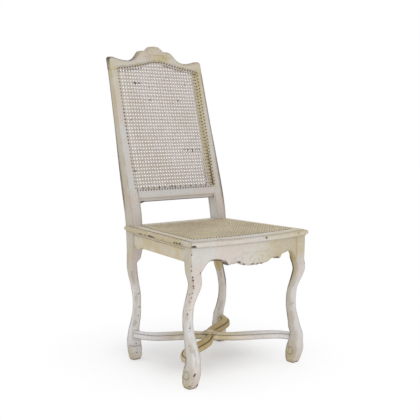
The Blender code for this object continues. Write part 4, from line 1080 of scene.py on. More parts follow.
@dataclass(frozen=True)
class CrestRail:
    """Crest rail: ears, dips and shoulders, a shell in the middle and leaves beside it."""

    thickness: float = 0.027
    edge: float = 0.006
    low_edge: float = 0.003
    end_edge: float = 0.0045
    arch: float = 0.027
    shell_z: float = 1.0455
    shell_radius: float = 0.0305
    top_table: Rows = (
        (0.000, 1.000), (0.050, 0.993), (0.095, 0.962), (0.135, 0.905), (0.165, 0.835),
        (0.190, 0.812), (0.235, 0.806), (0.295, 0.796), (0.335, 0.762), (0.370, 0.690),
        (0.410, 0.590), (0.455, 0.500), (0.520, 0.425), (0.600, 0.385), (0.680, 0.385),
        (0.770, 0.410), (0.860, 0.452), (0.925, 0.487), (0.965, 0.487), (0.990, 0.450), (1.000, 0.400),
    )
    opening_table: Rows = (
        (0.00, 1.00), (0.10, 0.985), (0.20, 0.90), (0.32, 0.72), (0.48, 0.50),
        (0.66, 0.31), (0.84, 0.13), (1.00, 0.00),
    )
    leaves: Rows = (
        (0.026, 1.0400, 0.050, 1.0480, 0.0045), (0.030, 1.0370, 0.060, 1.0385, 0.0045),
        (0.022, 1.0350, 0.046, 1.0290, 0.0040), (0.004, 1.0340, 0.018, 1.0260, 0.0035),
    )

    def top(self, x: Array) -> Array:
        """Height of the top edge, scalloped over the shell.

        Args:
            x: Places across.

        Returns:
            The height at each place.
        """
        across = np.abs(x) / CREST_HALF
        height = CREST_LOW + CREST_RISE * smooth(self.top_table, across, tight=True)
        lobes = np.abs(np.cos(x / 0.0052)) * 0.0012 - 0.0012
        return height + lobes * (np.abs(x) < 0.030)

    def opening(self, x: Array) -> Array:
        """Height of the lower edge over the cane."""
        across = np.minimum(np.abs(x) / POST_INNER, 1.0)
        return CREST_LOW + self.arch * smooth(self.opening_table, across, tight=True)

    def profile(self, x: float, low: float, high: float, steps: int = 56) -> tuple[Array, Array, Array]:
        """Section at one place across the chair.

        Args:
            x: The place.
            low: Height of the lower edge there.
            high: Height of the top edge there.
            steps: Points on the front face.

        Returns:
            Heights, depths behind the front face, and how near each point is to an edge.
        """
        r = self.low_edge if abs(x) < POST_INNER else 0.0004
        e, t = self.edge, self.thickness
        end = max(abs(x) - CREST_HALF + self.end_edge, 0.0)
        rounding = self.end_edge - math.sqrt(self.end_edge**2 - end**2)
        quarter = np.linspace(0, math.pi / 2, 7)
        z = [low + r - r * np.cos(quarter), np.linspace(low + r, high - e, steps)[1:-1]]
        d = [r - r * np.sin(quarter), np.zeros(steps - 2)]
        w = [np.sin(quarter * 2), np.zeros(steps - 2)]
        z += [high - e + e * np.sin(quarter), high - e + e * np.cos(quarter)]
        d += [e - e * np.cos(quarter), t - e + e * np.sin(quarter)]
        w += [np.sin(quarter * 2), np.sin(quarter * 2)]
        z += [np.linspace(high - e, low + r, 10)[1:-1], low + r - r * np.sin(quarter)]
        d += [np.full(8, t), t - r + r * np.cos(quarter)]
        w += [np.zeros(8), np.sin(quarter * 2)]
        depth = np.clip(np.concatenate(d), rounding, t - rounding)
        return np.concatenate(z), depth, np.concatenate(w)

    def carving(self, x: Array, z: Array) -> Relief:
        """Carve the front face: the shell, leaves and a curl on each side of it, and a line under the edge.

        Args:
            x: Places across.
            z: Places up.

        Returns:
            The carving.
        """
        relief = Relief(x, z)
        relief.add(*shell(x, z - self.shell_z, self.shell_radius, 9, 1))
        for side in (-1, 1):
            for start_x, start_z, end_x, end_z, width in self.leaves:
                relief.add(*leaf(x, z, (side * start_x, start_z), (side * end_x, end_z), width))
            curl = spiral_line((side * 0.0275, 1.0430), 0.0062, 1.1, math.pi / 2, -side)
            relief.bead(curl, 0.0014, 0.0014)
        places = np.linspace(-0.196, 0.196, 120)
        edge = [(float(px), float(pz)) for px, pz in zip(places, self.top(places) - 0.0062)]
        relief.groove(edge, 0.0013, 0.0006, 0.28)
        return relief

    def grime(self, x: Array, up: Array, down: Array, deep: Array) -> Array:
        """Darkening round the outline: along the top, partly grime and partly painted shade, in ticks over
        the cane, and on the ends.

        Args:
            x: Places across.
            up: Height of each point over the lower edge.
            down: Depth of each point under the top edge.
            deep: Depth behind the front face.

        Returns:
            How dark each point is made.
        """
        # Band along the top: partly grime, partly painted shade.
        rim = np.clip((0.0034 - down) / 0.0018, 0, 1)
        rim = rim * (0.35 + 0.65 * np.clip((np.abs(x) - 0.06) / 0.03, 0, 1))
        behind, ear = np.clip((deep - 0.013) / 0.006, 0, 1), np.clip((-x - 0.09) / 0.02, 0, 1)
        rim = rim * (0.45 + 0.65 * behind + 0.45 * ear)
        ticks = ridge(up - 0.0120, 0.0036) * (np.cos(x * 2 * math.pi / PITCH) > 0.25)
        ticks = 0.60 * ticks * np.clip(1 - deep / 0.004, 0, 1) * (np.abs(x) < HOLE_ROW)
        right = ridge(x - CREST_HALF + 0.0008, 0.0034) * np.clip(1 - deep / 0.010, 0, 1)
        left = ridge(x + CREST_HALF, 0.0030) * np.clip((deep - 0.019) / 0.005, 0, 1)
        return np.maximum.reduce((rim, ticks, 1.10 * left, 1.10 * right))

    def build(self, shop: Workshop) -> None:
        """Make the crest and put it in place.

        Args:
            shop: Workshop that it goes to.
        """
        full = CREST_HALF - self.end_edge
        ends = full + self.end_edge * np.cos(np.linspace(0, math.pi / 2, 7)[:-1])
        half = np.concatenate((ends, np.linspace(full, 0.075, 140), np.linspace(0.0742, 0, 94)))
        xs = np.concatenate((-half, half[-2::-1]))
        lows, highs = self.opening(xs), self.top(xs)
        sections = [self.profile(*row) for row in zip(xs, lows, highs)]
        z, deep, corner = (np.array([section[k] for section in sections]) for k in range(3))
        x = np.broadcast_to(xs[:, None], z.shape)
        relief = self.carving(x, z)
        front = np.clip(1 - deep / 0.004, 0, 1)
        raised = BACK_NORMAL * (relief.raised * front)[..., None]
        points = np.stack((x, back_y(z) + deep, z), axis=-1) + raised
        up, down = z - lows[:, None], highs[:, None] - z
        hug = np.clip(1 - up / 0.020, 0, 1) * (0.55 + 0.45 * np.sin(x * 70 + 1.0))
        patch = np.clip(1 - np.hypot((x - 0.022) / 0.040, (z - 1.034) / 0.018), 0, 1)
        warm = front * (1.05 * hug + 0.9 * patch) + 0.40
        dirt_and_shade = np.maximum(relief.dirt_and_shade * front, self.grime(x, up, down, deep))
        skin = Skin(points, True, True, dirt_and_shade, corner, warm).turned()
        shop.place("crest_rail_carved", skin.mesh("crest_rail"), Slot.PAINT, "crest_rail")


@dataclass(frozen=True)
class BackRail:
    """Lower rail of the back, with a cove under its face and a painted shadow at its left end, where it
    meets the post.
    """

    low: float = 0.537
    high: float = 0.584
    thickness: float = 0.026
    edge: float = 0.0025
    cove: float = 0.0066
    cove_low: float = 0.002
    cove_height: float = 0.012
    face_low: float = 0.553
    shadow_reach: float = 0.026

    def build(self, shop: Workshop) -> None:
        """Make the rail and put it in place.

        Args:
            shop: Workshop that it goes to.
        """
        t, r = self.thickness, self.edge
        quarter = np.linspace(0, math.pi / 2, 6)
        rise = np.linspace(0, 1, 10)
        shoulder = self.high - r
        z = np.concatenate((
            np.full(2, self.low), self.low + self.cove_low + self.cove_height * rise,
            np.linspace(self.face_low, shoulder, 12), shoulder + r * np.sin(quarter),
            shoulder + r * np.cos(quarter), np.linspace(shoulder, self.low, 8)[1:],
        ))
        d = np.concatenate((
            np.array((t, 0.007)), self.cove * (1 - rise**2) ** 0.8, np.zeros(12),
            r - r * np.cos(quarter), t - r + r * np.sin(quarter), np.full(7, t),
        ))
        dirt_and_shade = np.zeros_like(z)
        dirt_and_shade[1:4] = (1.0, 0.75, 0.10)
        warm = ridge(z - self.face_low + 0.0005, 0.0035) * 0.5 - 0.15
        xs = np.linspace(-POST_INNER - 0.001, POST_INNER + 0.001, 180)
        x, zz = np.meshgrid(xs, z, indexing="ij")
        points = np.stack((x, back_y(zz) + d, zz), axis=-1)
        # Painted shadow: the lower left corner dips and is painted dark where the rail meets the post.
        shadow_wedge = np.clip(1 - (x + POST_INNER) / self.shadow_reach, 0, 1) * (zz < self.low + 0.0035)
        points[..., 2] -= 0.0070 * shadow_wedge
        dirt_and_shade, warm = np.broadcast_to(dirt_and_shade, x.shape), np.broadcast_to(warm, x.shape)
        skin = Skin(points, True, True, dirt_and_shade, None, warm, np.clip(6 * shadow_wedge, 0, 1)).turned()
        shop.place("lower_back_rail_moulded", skin.mesh("lower_back_rail"), Slot.PAINT, "lower_back_rail")


FRAME_WEAR = (
    (-0.2450, -0.2725, 0.4440, 0.0074), (-0.2418, -0.2735, 0.4432, 0.0078),
    (-0.2385, -0.2740, 0.4424, 0.0060), (-0.2225, 0.040, 0.4460, 0.0054),
    (-0.2260, 0.028, 0.4455, 0.0056), (-0.2290, 0.015, 0.4455, 0.0034), (-0.2320, -0.003, 0.4440, 0.0070),
    (-0.2340, -0.026, 0.4450, 0.0074), (-0.2350, -0.036, 0.4448, 0.0070),
    (-0.2365, -0.048, 0.4450, 0.0068), (-0.2380, -0.060, 0.4448, 0.0056),
    (-0.2420, -0.110, 0.4450, 0.0034), (-0.2480, -0.180, 0.4450, 0.0062),
    (-0.2490, -0.195, 0.4455, 0.0066), (-0.2505, -0.210, 0.4465, 0.0062),
    (-0.2515, -0.225, 0.4460, 0.0040), (-0.2150, -0.2755, 0.4480, 0.0030),
    (-0.2010, -0.2780, 0.4500, 0.0030), (-0.1480, -0.2700, 0.4578, 0.0050),
    (-0.1380, -0.2720, 0.4578, 0.0050), (-0.1300, -0.2750, 0.4578, 0.0034),
    (0.0300, -0.2960, 0.4530, 0.0046), (0.0380, -0.2950, 0.4530, 0.0030),
    (0.1900, -0.2830, 0.4540, 0.0040),
)


@dataclass(frozen=True)
class SeatFrame:
    """Moulded seat frame of four rails, mitred in front."""

    depth: float = 0.425
    bow: float = 0.026
    front_half: float = 0.253
    rear_half: float = 0.212
    side_bow: float = 0.005
    radius: float = 0.014
    side_border: float = 0.048
    front_border: float = 0.056
    rear_border: float = 0.060
    inner_radius: float = 0.004
    nose: float = 0.0070
    step: float = 0.0035
    groove: float = 0.0148

    def front_y(self, x: Array, inset: float = 0.0) -> Array:
        """Bowed front line."""
        across = np.minimum(np.abs(x) / self.front_half, 1.0)
        return REAR_EDGE - self.depth + inset - self.bow * (1 - across**2)

    def side_x(self, y: Array, inset: float = 0.0) -> Array:
        """Half-width at a place along the chair.

        Args:
            y: Places along the chair.
            inset: How far inside the edge the line lies.

        Returns:
            The half-width at each place.
        """
        along = np.clip((REAR_EDGE - y) / self.depth, 0.0, 1.0)
        half = self.rear_half + (self.front_half - self.rear_half) * along
        return half + self.side_bow * (1 - (2 * along - 1) ** 2) - inset

    def half_outline(self, side: float, front: float, rear: float, radius: float) -> Array:
        """Right half of the frame's edge, or of a line inside it, from the front's middle to the rear's.

        Args:
            side: Inset on the side.
            front: Inset in front.
            rear: Inset at the rear.
            radius: How round the corners are.

        Returns:
            Rows of x and y.
        """
        corner_x = float(self.side_x(REAR_EDGE - self.depth, side))
        corner_y = float(self.front_y(corner_x, front))
        rear_y = REAR_EDGE - rear
        xs = np.linspace(0, corner_x - radius, 60)
        points = [(float(x), float(self.front_y(x, front))) for x in xs]

        def bend(corner: Point, end: Point) -> None:
            """Round a corner.

            Args:
                corner: The sharp corner.
                end: Where the bend ends.
            """
            start = np.array(points[-1])
            for t in np.linspace(0, 1, 13)[1:]:
                place = start * (1 - t) ** 2 + np.array(corner) * 2 * t * (1 - t) + np.array(end) * t**2
                points.append((float(place[0]), float(place[1])))

        end_y = corner_y + radius
        bend((corner_x, corner_y), (float(self.side_x(end_y, side)), end_y))
        for y in np.linspace(end_y, rear_y - radius / 2, 80)[1:]:
            points.append((float(self.side_x(y, side)), float(y)))
        corner_x = float(self.side_x(rear_y, side))
        bend((corner_x, rear_y), (corner_x - radius / 2, rear_y))
        for x in np.linspace(corner_x - radius / 2, 0, 40)[1:]:
            points.append((float(x), rear_y))
        return np.array(points)

    def section(self, width: float) -> tuple[Array, Array, Array, Array]:
        """Moulded section.

        Args:
            width: Width of the rail.

        Returns:
            Insets from the rim, heights, grime with painted shade, and wear.
        """
        low, high = FRAME_LOW, SEAT_TOP
        angle = np.linspace(0, math.pi, 19)
        top = high - 0.0026
        nose_in = self.nose * (1 - np.sin(angle))
        nose_z = (low + self.step + top) / 2 - (top - low - self.step) / 2 * np.cos(angle)
        slope_in = (0.0100, 0.0125, 0.0140, self.groove, 0.0156, 0.0180)
        slope_z = (top, top, top - 0.0004, top + 0.0002, high - 0.0004, high - 0.0001)
        flat = np.linspace(0.021, max(width - 0.0025, 0.022), 10)
        inset = np.concatenate((
            (width, 0.012, 0.0085, 0.0075), nose_in, slope_in, flat, (width - 0.0008, width),
        ))
        z = np.concatenate((
            (low, low, low, low + 0.0025), nose_z, slope_z, np.full(10, high - 0.0002),
            (high - 0.0008, high - 0.0030),
        ))
        upper = z > high - 0.004
        # Dark line in the groove's crease: partly grime, partly painted shade.
        dirt_and_shade = ridge(inset - self.groove, 0.0016) * upper
        # Painted shade under the moulding: its underside and the lower edge of its nose.
        dirt_and_shade += 0.75 * (z < low + 0.001) * (inset < 0.012)
        dirt_and_shade += 0.30 * ridge(z - low - 0.0025, 0.0012) * (inset < 0.012)
        dirt_and_shade += 0.35 * (inset > width - 0.0015) * (z > low + 0.01)
        return inset, z, dirt_and_shade, ridge(inset - 0.004, 0.005) * upper

    def build(self, shop: Workshop) -> None:
        """Make the four rails and put them in place.

        Args:
            shop: Workshop that it goes to.
        """
        outer = self.half_outline(0.0, 0.0, 0.0, self.radius)
        inner = self.half_outline(self.side_border, self.front_border, self.rear_border, self.inner_radius)
        mitre, rear = 60 + 6, len(outer) - 38
        spans = {
            "seat_rail_front": (0, mitre, ("",)),
            "seat_rail_side": (mitre, rear, ("left", "right")),
            "seat_rail_rear": (rear, len(outer) - 1, ("",)),
        }
        for label, (first, last, sides) in spans.items():
            rows = self.stations(outer[first : last + 1], inner[first : last + 1])
            for side in sides:
                self.rail(shop, label, side, *rows)

    def stations(self, outer: Array, inner: Array) -> tuple[Array, Array, Array]:
        """Work out each station's points and paint values.

        Args:
            outer: Points of the outer edge.
            inner: The same points of the inner edge.

        Returns:
            The points, the grime with painted shade, and the wear, with one row per station.
        """
        grid, grime, worn = [], [], []
        for rim, end in zip(outer, inner):
            width = float(np.hypot(*(end - rim)))
            inset, z, dirt_and_shade, wear = self.section(width)
            places = rim + (end - rim) / width * np.minimum(inset, width)[:, None]
            grid.append(np.column_stack((places, z)))
            grime.append(dirt_and_shade)
            worn.append(wear)
        return np.array(grid), np.array(grime), np.array(worn)

    def rail(self, shop: Workshop, label: str, side: str, grid: Array, dirt_and_shade: Array, wear: Array) -> None:
        """Make one rail from its stations.

        Args:
            shop: Workshop that it goes to.
            label: Name of the rail, without its side.
            side: Left, right, or empty for a rail that is mirrored across the middle.
            grid: Points of its right half, or of the right rail.
            dirt_and_shade: Grime and painted shade on them.
            wear: Wear on them.
        """
        flip = np.array((-1.0, 1.0, 1.0))
        node = label
        if label == "seat_rail_front":
            grid = np.concatenate((grid[:0:-1] * flip, grid))
            dirt_and_shade, wear = (np.concatenate((v[:0:-1], v)) for v in (dirt_and_shade, wear))
        elif label == "seat_rail_rear":
            grid = np.concatenate((grid[:-1], grid[::-1] * flip))
            dirt_and_shade, wear = (np.concatenate((v[:-1], v[::-1])) for v in (dirt_and_shade, wear))
        else:
            node = "seat_rail_" + side
        if side == "left":
            grid = grid * flip
        ends = np.minimum(np.arange(len(grid)), np.arange(len(grid))[::-1])
        joint = 0.5 * (ends == 0)[:, None]
        face = (grid[..., 2] > FRAME_LOW + 0.010) & (side == "")
        top = grid[..., 2] > SEAT_TOP - 0.005
        # Painted shade: a dark line along the top of the rear edge.
        rear = 0.9 * np.clip((grid[..., 1] - REAR_EDGE + 0.007) / 0.003, 0, 1) * top
        dirt_and_shade = np.maximum(np.where(face, 0.30, 0.60) * dirt_and_shade, np.maximum(joint, rear))
        skin = Skin(grid, True, True, dirt_and_shade, wear, self.warmth(grid), marks(grid, FRAME_WEAR))
        skin = skin.turned() if side == "left" else skin
        shop.place(node + "_moulded", skin.mesh(node, 50.0), Slot.PAINT, node)

    def warmth(self, grid: Array) -> Array:
        """Yellowing of the seat frame: strong on its left, weak in front.

        Args:
            grid: Grid of points.

        Returns:
            How yellow each point is.
        """
        x, y = grid[..., 0], grid[..., 1]
        side = np.clip(0.40 - x * 0.9, 0.0, 0.6) * np.clip((y + 0.25) / 0.05, 0.0, 1.0)
        front = 0.18 * np.clip((-0.25 - y) / 0.01, 0.0, 1.0)
        return side + front + np.clip(x * 2.6 - 0.05, 0.0, 0.45)


@dataclass(frozen=True)
class FrontApron:
    """Shaped front apron with a shell, two scrolls and a beaded lower edge."""

    half: float = FRONT_LEG_X - 0.020 + 0.0008
    face: float = FRONT_LEG_Y - 0.018 + 0.002
    bow: float = 0.024
    thickness: float = 0.024
    edge: float = 0.0030
    drop: float = 0.072
    shell_z: float = 0.4085
    shell_radius: float = 0.0400
    accents: Rows = (
        (-0.1165, 0.006), (-0.071, 0.007), (-0.051, 0.004), (-0.016, 0.006), (0.004, 0.005), (0.022, 0.004),
        (0.094, 0.011), (-0.150, 0.020),
    )
    table: Rows = (
        (0.000, 1.000), (0.100, 0.995), (0.180, 0.980), (0.240, 0.950), (0.290, 0.890),
        (0.330, 0.820), (0.370, 0.812), (0.430, 0.845), (0.480, 0.845), (0.515, 0.875),
        (0.545, 0.872), (0.575, 0.770), (0.610, 0.700), (0.660, 0.672), (0.740, 0.632),
        (0.810, 0.625), (0.860, 0.650), (0.900, 0.735), (0.940, 0.870), (0.975, 1.020), (1.000, 1.110),
    )
    stem: Rows = ((0.036, 0.4120), (0.050, 0.4060), (0.068, 0.4010), (0.086, 0.3960), (0.100, 0.3880))

    def low(self, x: Array) -> Array:
        """Height of the lower edge, scalloped under the shell.

        Args:
            x: Places across.

        Returns:
            The height at each place.
        """
        drop = self.drop * smooth(self.table, np.abs(x) / self.half, tight=True)
        lobes = (1 - np.abs(np.cos(x / 0.0085))) * 0.0016 * (np.abs(x) < 0.052)
        return FRAME_LOW - drop + lobes

    def section(self, low: float) -> tuple[Array, Array, Array]:
        """Section at one place across the chair.

        Args:
            low: Height of the lower edge there.

        Returns:
            Heights, depths behind the front face, and how near each point is to an edge.
        """
        r, t, high = self.edge, self.thickness, FRAME_LOW - GAP
        quarter = np.linspace(0, math.pi / 2, 7)
        z = np.concatenate((
            np.linspace(high, low + r, 46), low + r - r * np.sin(quarter)[1:],
            low + r - r * np.cos(quarter), np.linspace(low + r, high, 8)[1:],
        ))
        d = np.concatenate((
            np.zeros(46), r - r * np.cos(quarter)[1:], t - r + r * np.sin(quarter), np.full(7, t),
        ))
        w = np.concatenate((np.zeros(46), np.sin(quarter * 2)[1:], np.sin(quarter * 2), np.zeros(7)))
        return z, d, w

    def carving(self, x: Array, z: Array) -> Relief:
        """Carve the front face: the shell, and leaves, a stem and two curls on each side of it.

        Args:
            x: Places across.
            z: Places up.

        Returns:
            The carving.
        """
        relief = Relief(x, z)
        fan, lines = shell(x, z - self.shell_z, self.shell_radius, 9, -1)
        relief.add(0.62 * fan, 0.7 * lines)
        for side in (-1, 1):
            scroll = spiral_line((side * 0.0560, 0.3915), 0.0085, 1.2, -math.pi / 2, side)
            relief.bead(scroll, 0.0016, 0.0011, 0.25)
            relief.bead([(side * px, pz) for px, pz in self.stem], 0.0016, 0.0010, 0.20)
            relief.add(*leaf(x, z, (side * 0.034, 0.4040), (side * 0.060, 0.4150)))
            relief.add(*leaf(x, z, (side * 0.064, 0.3850), (side * 0.092, 0.3870)))
            curl = spiral_line((side * 0.1010, 0.3840), 0.0060, 1.0, math.pi / 2, side)
            relief.bead(curl, 0.0014, 0.0010, 0.25)
        return relief

    def build(self, shop: Workshop) -> None:
        """Make the apron and put it in place.

        Args:
            shop: Workshop that it goes to.
        """
        xs = np.linspace(-self.half, self.half, 420)
        lows = self.low(xs)
        sections = [self.section(low) for low in lows]
        z, d, w = (np.array([section[k] for section in sections]) for k in range(3))
        x = np.broadcast_to(xs[:, None], z.shape)
        relief = self.carving(x, z)
        edge = [(float(px), float(pz)) for px, pz in zip(xs[::4], lows[::4] + 0.0050)]
        relief.groove(edge, 0.0012, 0.0006, 0.18)
        front = np.clip(1 - d / 0.003, 0, 1)
        y = self.face - self.bow * (1 - (x / self.half) ** 2) + d - relief.raised * front
        limb = (d > 0.003) * np.clip((x - 0.145) / 0.010, 0, 1)
        up = z - lows[:, None]
        dirt_and_shade = np.maximum(relief.dirt_and_shade * front, self.grime(x, up))
        dirt_and_shade = np.maximum(dirt_and_shade, 0.60 * limb * np.clip((z - 0.388) / 0.006, 0, 1) * (d < 0.010))
        arch = np.exp(-(((np.abs(x) - 0.150) / 0.036) ** 2)) * (up < 0.0034)
        warm = np.clip((x + 0.01) / 0.12, 0, 1) * 0.85 + 0.30 * np.exp(-((x / 0.045) ** 2)) * front
        warm = np.maximum.reduce((warm + 0.6 * (d > 0.004), 1.5 * arch, 2.0 * limb))
        skin = Skin(np.stack((x, y, z), axis=-1), True, True, dirt_and_shade, w, warm)
        shop.place("front_apron_carved", skin.mesh("front_apron"), Slot.PAINT, "front_apron")

    def grime(self, x: Array, up: Array) -> Array:
        """Grime along the lower edge, strongest in some places, and painted shade that darkens it a little
        toward the right.

        Args:
            x: Places across.
            up: Heights over the lower edge.

        Returns:
            How dark each point is made.
        """
        rim = np.clip((0.0064 - up) / 0.0016, 0, 1)
        accent = sum(np.exp(-(((x - at) / wide) ** 2)) for at, wide in self.accents)
        # Painted shade: a little darker toward the right.
        right = 0.12 * np.clip((x - 0.02) / 0.10, 0, 1)
        return np.maximum(rim * np.clip(0.08 + 1.1 * accent, 0, 0.95), right)


@dataclass(frozen=True)
class SideApron:
    """Side apron with a bead under the seat."""

    side: int
    drop: float = 0.047
    thickness: float = 0.022
    front: Point = (FRONT_LEG_X + 0.015, FRONT_LEG_Y + 0.0183)
    rear: Point = (POST_OUTER - 0.005, POST_FRONT - GAP)
    table: Rows = (
        (0.00, 1.00), (0.40, 1.00), (0.83, 1.00), (0.87, 1.09), (0.91, 1.17), (0.95, 1.14), (0.98, 1.00),
        (1.00, 0.88),
    )

    def build(self, shop: Workshop) -> None:
        """Make the apron and put it in place.

        Args:
            shop: Workshop that it goes to.
        """
        along = np.concatenate((np.linspace(0, 0.8, 80), np.linspace(0.803, 1.0, 60)))
        low = (FRAME_LOW - self.drop * smooth(self.table, along, tight=True))[:, None]
        high = FRAME_LOW - GAP
        z = high + (low + 0.002 - high) * np.linspace(0, 1, 40)
        bead = ridge(z - (high - 0.0035), 0.0028) * 0.0016
        line = ridge(z - (high - 0.0078), 0.0011)
        back = np.array((0.0015, self.thickness - 0.0015, self.thickness, self.thickness))
        back_z = np.concatenate((low, low, low + 0.001, np.full_like(low, high)), axis=1)
        z = np.concatenate((z, back_z), axis=1)
        depth = np.concatenate((line * 0.0010 - bead, np.broadcast_to(back, back_z.shape)), axis=1)
        dirt_and_shade = np.concatenate((line * 0.85, np.zeros_like(back_z)), axis=1)
        dirt_and_shade = np.maximum(dirt_and_shade, 0.3 * (z < low + 0.003) * (along[:, None] > 0.8))
        (front_x, front_y), (rear_x, rear_y) = self.front, self.rear
        x = self.side * (front_x + (rear_x - front_x) * along[:, None] - depth)
        y = np.broadcast_to((front_y + (rear_y - front_y) * along)[:, None], x.shape)
        warm = 0.62 + 0.5 * (z < low + 0.0028)
        points = np.stack((x, y, z), axis=-1)
        if self.side > 0:
            points, dirt_and_shade = points[:, ::-1], dirt_and_shade[:, ::-1]
        skin = Skin(points, True, True, dirt_and_shade, None, warm)
        name = "side_apron_" + side_name(self.side)
        shop.place(name + "_beaded", skin.mesh(name), Slot.WORN, name)


@dataclass(frozen=True)
class RearApron:
    """Plain rear apron between the rear posts, with a bead under the seat."""

    radius: float = 0.003

    def build(self, shop: Workshop) -> None:
        """Make the apron and put it in place.

        Args:
            shop: Workshop that it goes to.
        """
        low, high = (np.array(corner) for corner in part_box("rear_apron"))
        turn = np.linspace(0, math.pi / 2, 6)
        up = np.linspace(low[2] + self.radius, high[2], 40)
        line = ridge(up - high[2] + 0.0105, 0.0012)
        back = high[1] - 0.0012 + 0.0012 * ridge(up - high[2] + 0.006, 0.0028) - 0.0006 * line
        turned_in = self.radius * (1 - np.sin(turn))
        round_y = np.concatenate((low[1] + turned_in, high[1] - turned_in[::-1]))
        round_z = low[2] + self.radius * (1 - np.concatenate((np.cos(turn), np.cos(turn[::-1]))))
        y = np.concatenate((round_y[::-1], np.full_like(up, low[1]), back[::-1]))
        z = np.concatenate((round_z[::-1], up, up[::-1]))
        dirt_and_shade = np.concatenate((np.full(12, 0.4), np.zeros_like(up), 0.6 * line[::-1]))
        xs = np.linspace(low[0], high[0], 90)
        points = np.stack(np.broadcast_arrays(xs[:, None], y[None, :], z[None, :]), axis=-1)
        skin = Skin(points, True, True, dirt_and_shade, None, np.array(0.35))
        shop.place("rear_apron_beaded", skin.mesh("rear_apron"), Slot.WORN, "rear_apron")


@dataclass(frozen=True)
class Stretcher:
    """One serpentine bar of the crossed stretcher, with a bead between two grooves.

    A row of the table gives a place from the middle to an end, as shares across and along, and the share
    of the width there. A row of the moulding gives a share across, a height over the bottom and grime,
    from the bottom's middle round to the top's.
    """

    side: int
    over: bool
    low: float = 0.0765
    half: float = 0.023
    under_drop: float = 0.0006
    table: Rows = (
        (0.000, 0.000, 0.60), (0.060, 0.090, 0.62), (0.130, 0.168, 0.68), (0.220, 0.258, 0.80),
        (0.320, 0.330, 0.91), (0.450, 0.410, 1.00), (0.570, 0.480, 1.00), (0.680, 0.550, 0.98),
        (0.780, 0.620, 0.94), (0.860, 0.700, 0.84), (0.930, 0.790, 0.74), (0.975, 0.890, 0.67),
        (1.000, 1.000, 0.65),
    )
    moulding: Rows = (
        (0.0, 0.0, 0), (0.5, 0.0, 0), (0.84, 0.0, 0.8), (0.95, 0.0012, 0.9), (0.995, 0.003, 0.1),
        (1.0, 0.0075, 0), (0.99, 0.0115, 0), (0.94, 0.0145, 0), (0.86, 0.0160, 0), (0.76, 0.0158, 0.25),
        (0.69, 0.0146, 0.8), (0.655, 0.0136, 1.0), (0.62, 0.0146, 0.9), (0.60, 0.0165, 0.5),
        (0.55, 0.0192, 0.1), (0.46, 0.0210, 0), (0.33, 0.0232, 0), (0.17, 0.0235, 0), (0.0, 0.0235, 0),
    )

    def path(self) -> Array:
        """Points of the bar and its width, dense and smooth.

        Returns:
            Rows of x, y and share of the width.
        """
        rear_x = self.side * (POST_OUTER - 0.029 * 1.06 / 2)
        rear_y = POST_Y - 0.28 * 0.026 - POST_DEPTH * 0.94 / 2 - GAP
        front_x = -self.side * FRONT_LEG_X
        front_y = FRONT_LEG_Y - 0.29 * 0.024 + 0.036 * 1.14 / 2 + GAP
        rear = [(rear_x * u, STRETCHER_Y + (rear_y - STRETCHER_Y) * v, w) for u, v, w in self.table]
        front = [(front_x * u, STRETCHER_Y + (front_y - STRETCHER_Y) * v, w) for u, v, w in self.table]
        rows = np.array(list(reversed(rear)) + front[1:])
        length = np.concatenate(((0.0,), np.cumsum(np.hypot(*np.diff(rows[:, :2], axis=0).T))))
        table = np.column_stack((length, rows))
        at = np.linspace(0, length[-1], 260)
        return np.column_stack([smooth(table, at, k) for k in (1, 2, 3)])

    def across(self, path: Array) -> Array:
        """Directions across the bar, square to the legs at its ends.

        Args:
            path: Points of the bar.

        Returns:
            One direction per point.
        """
        way = np.gradient(path[:, :2], axis=0)
        way /= np.hypot(*way.T)[:, None]
        count = np.arange(len(path))
        ease = np.clip(np.minimum(count, count[::-1]) / 14, 0, 1)[:, None]
        way = way * ease + np.array((0.0, -1.0)) * (1 - ease)
        way /= np.hypot(*way.T)[:, None]
        return np.stack((-way[:, 1], way[:, 0]), axis=1)

    def build(self, shop: Workshop) -> None:
        """Make the bar and put it in place.

        Args:
            shop: Workshop that it goes to.
        """
        path = self.path()
        half = np.array(self.moulding)
        other = half[-2:0:-1] * np.array((-1.0, 1.0, 1.0))
        across, z, dirt_and_shade = np.concatenate((half, other)).T
        side = self.across(path)
        reach = across[None, :] * self.half * path[:, 2:]
        x = path[:, :1] + side[:, :1] * reach
        y = path[:, 1:2] + side[:, 1:] * reach
        low = self.low if self.over else self.low - self.under_drop
        points = np.stack((x, y, np.broadcast_to(z + low, x.shape)), axis=-1)
        from_middle = np.hypot(x, y - STRETCHER_Y)
        near = np.clip(1.6 - from_middle / (0.100 if self.over else 0.260), 0, 1)
        chalk = 0.60 * np.clip((from_middle - 0.15) / 0.03, 0, 1) * self.over
        warm = (0.90 if self.over else 2.05) * near - chalk
        wear = np.broadcast_to(0.5 * ridge(np.abs(across) - 0.95, 0.12), x.shape)
        node = "stretcher_over" if self.over else "stretcher_under"
        skin = Skin(points, True, True, dirt_and_shade * (0.80 + 0.3 * near), wear, warm).turned()
        shop.place(node + "_moulded", skin.mesh(node, 55.0), Slot.WORN, node)


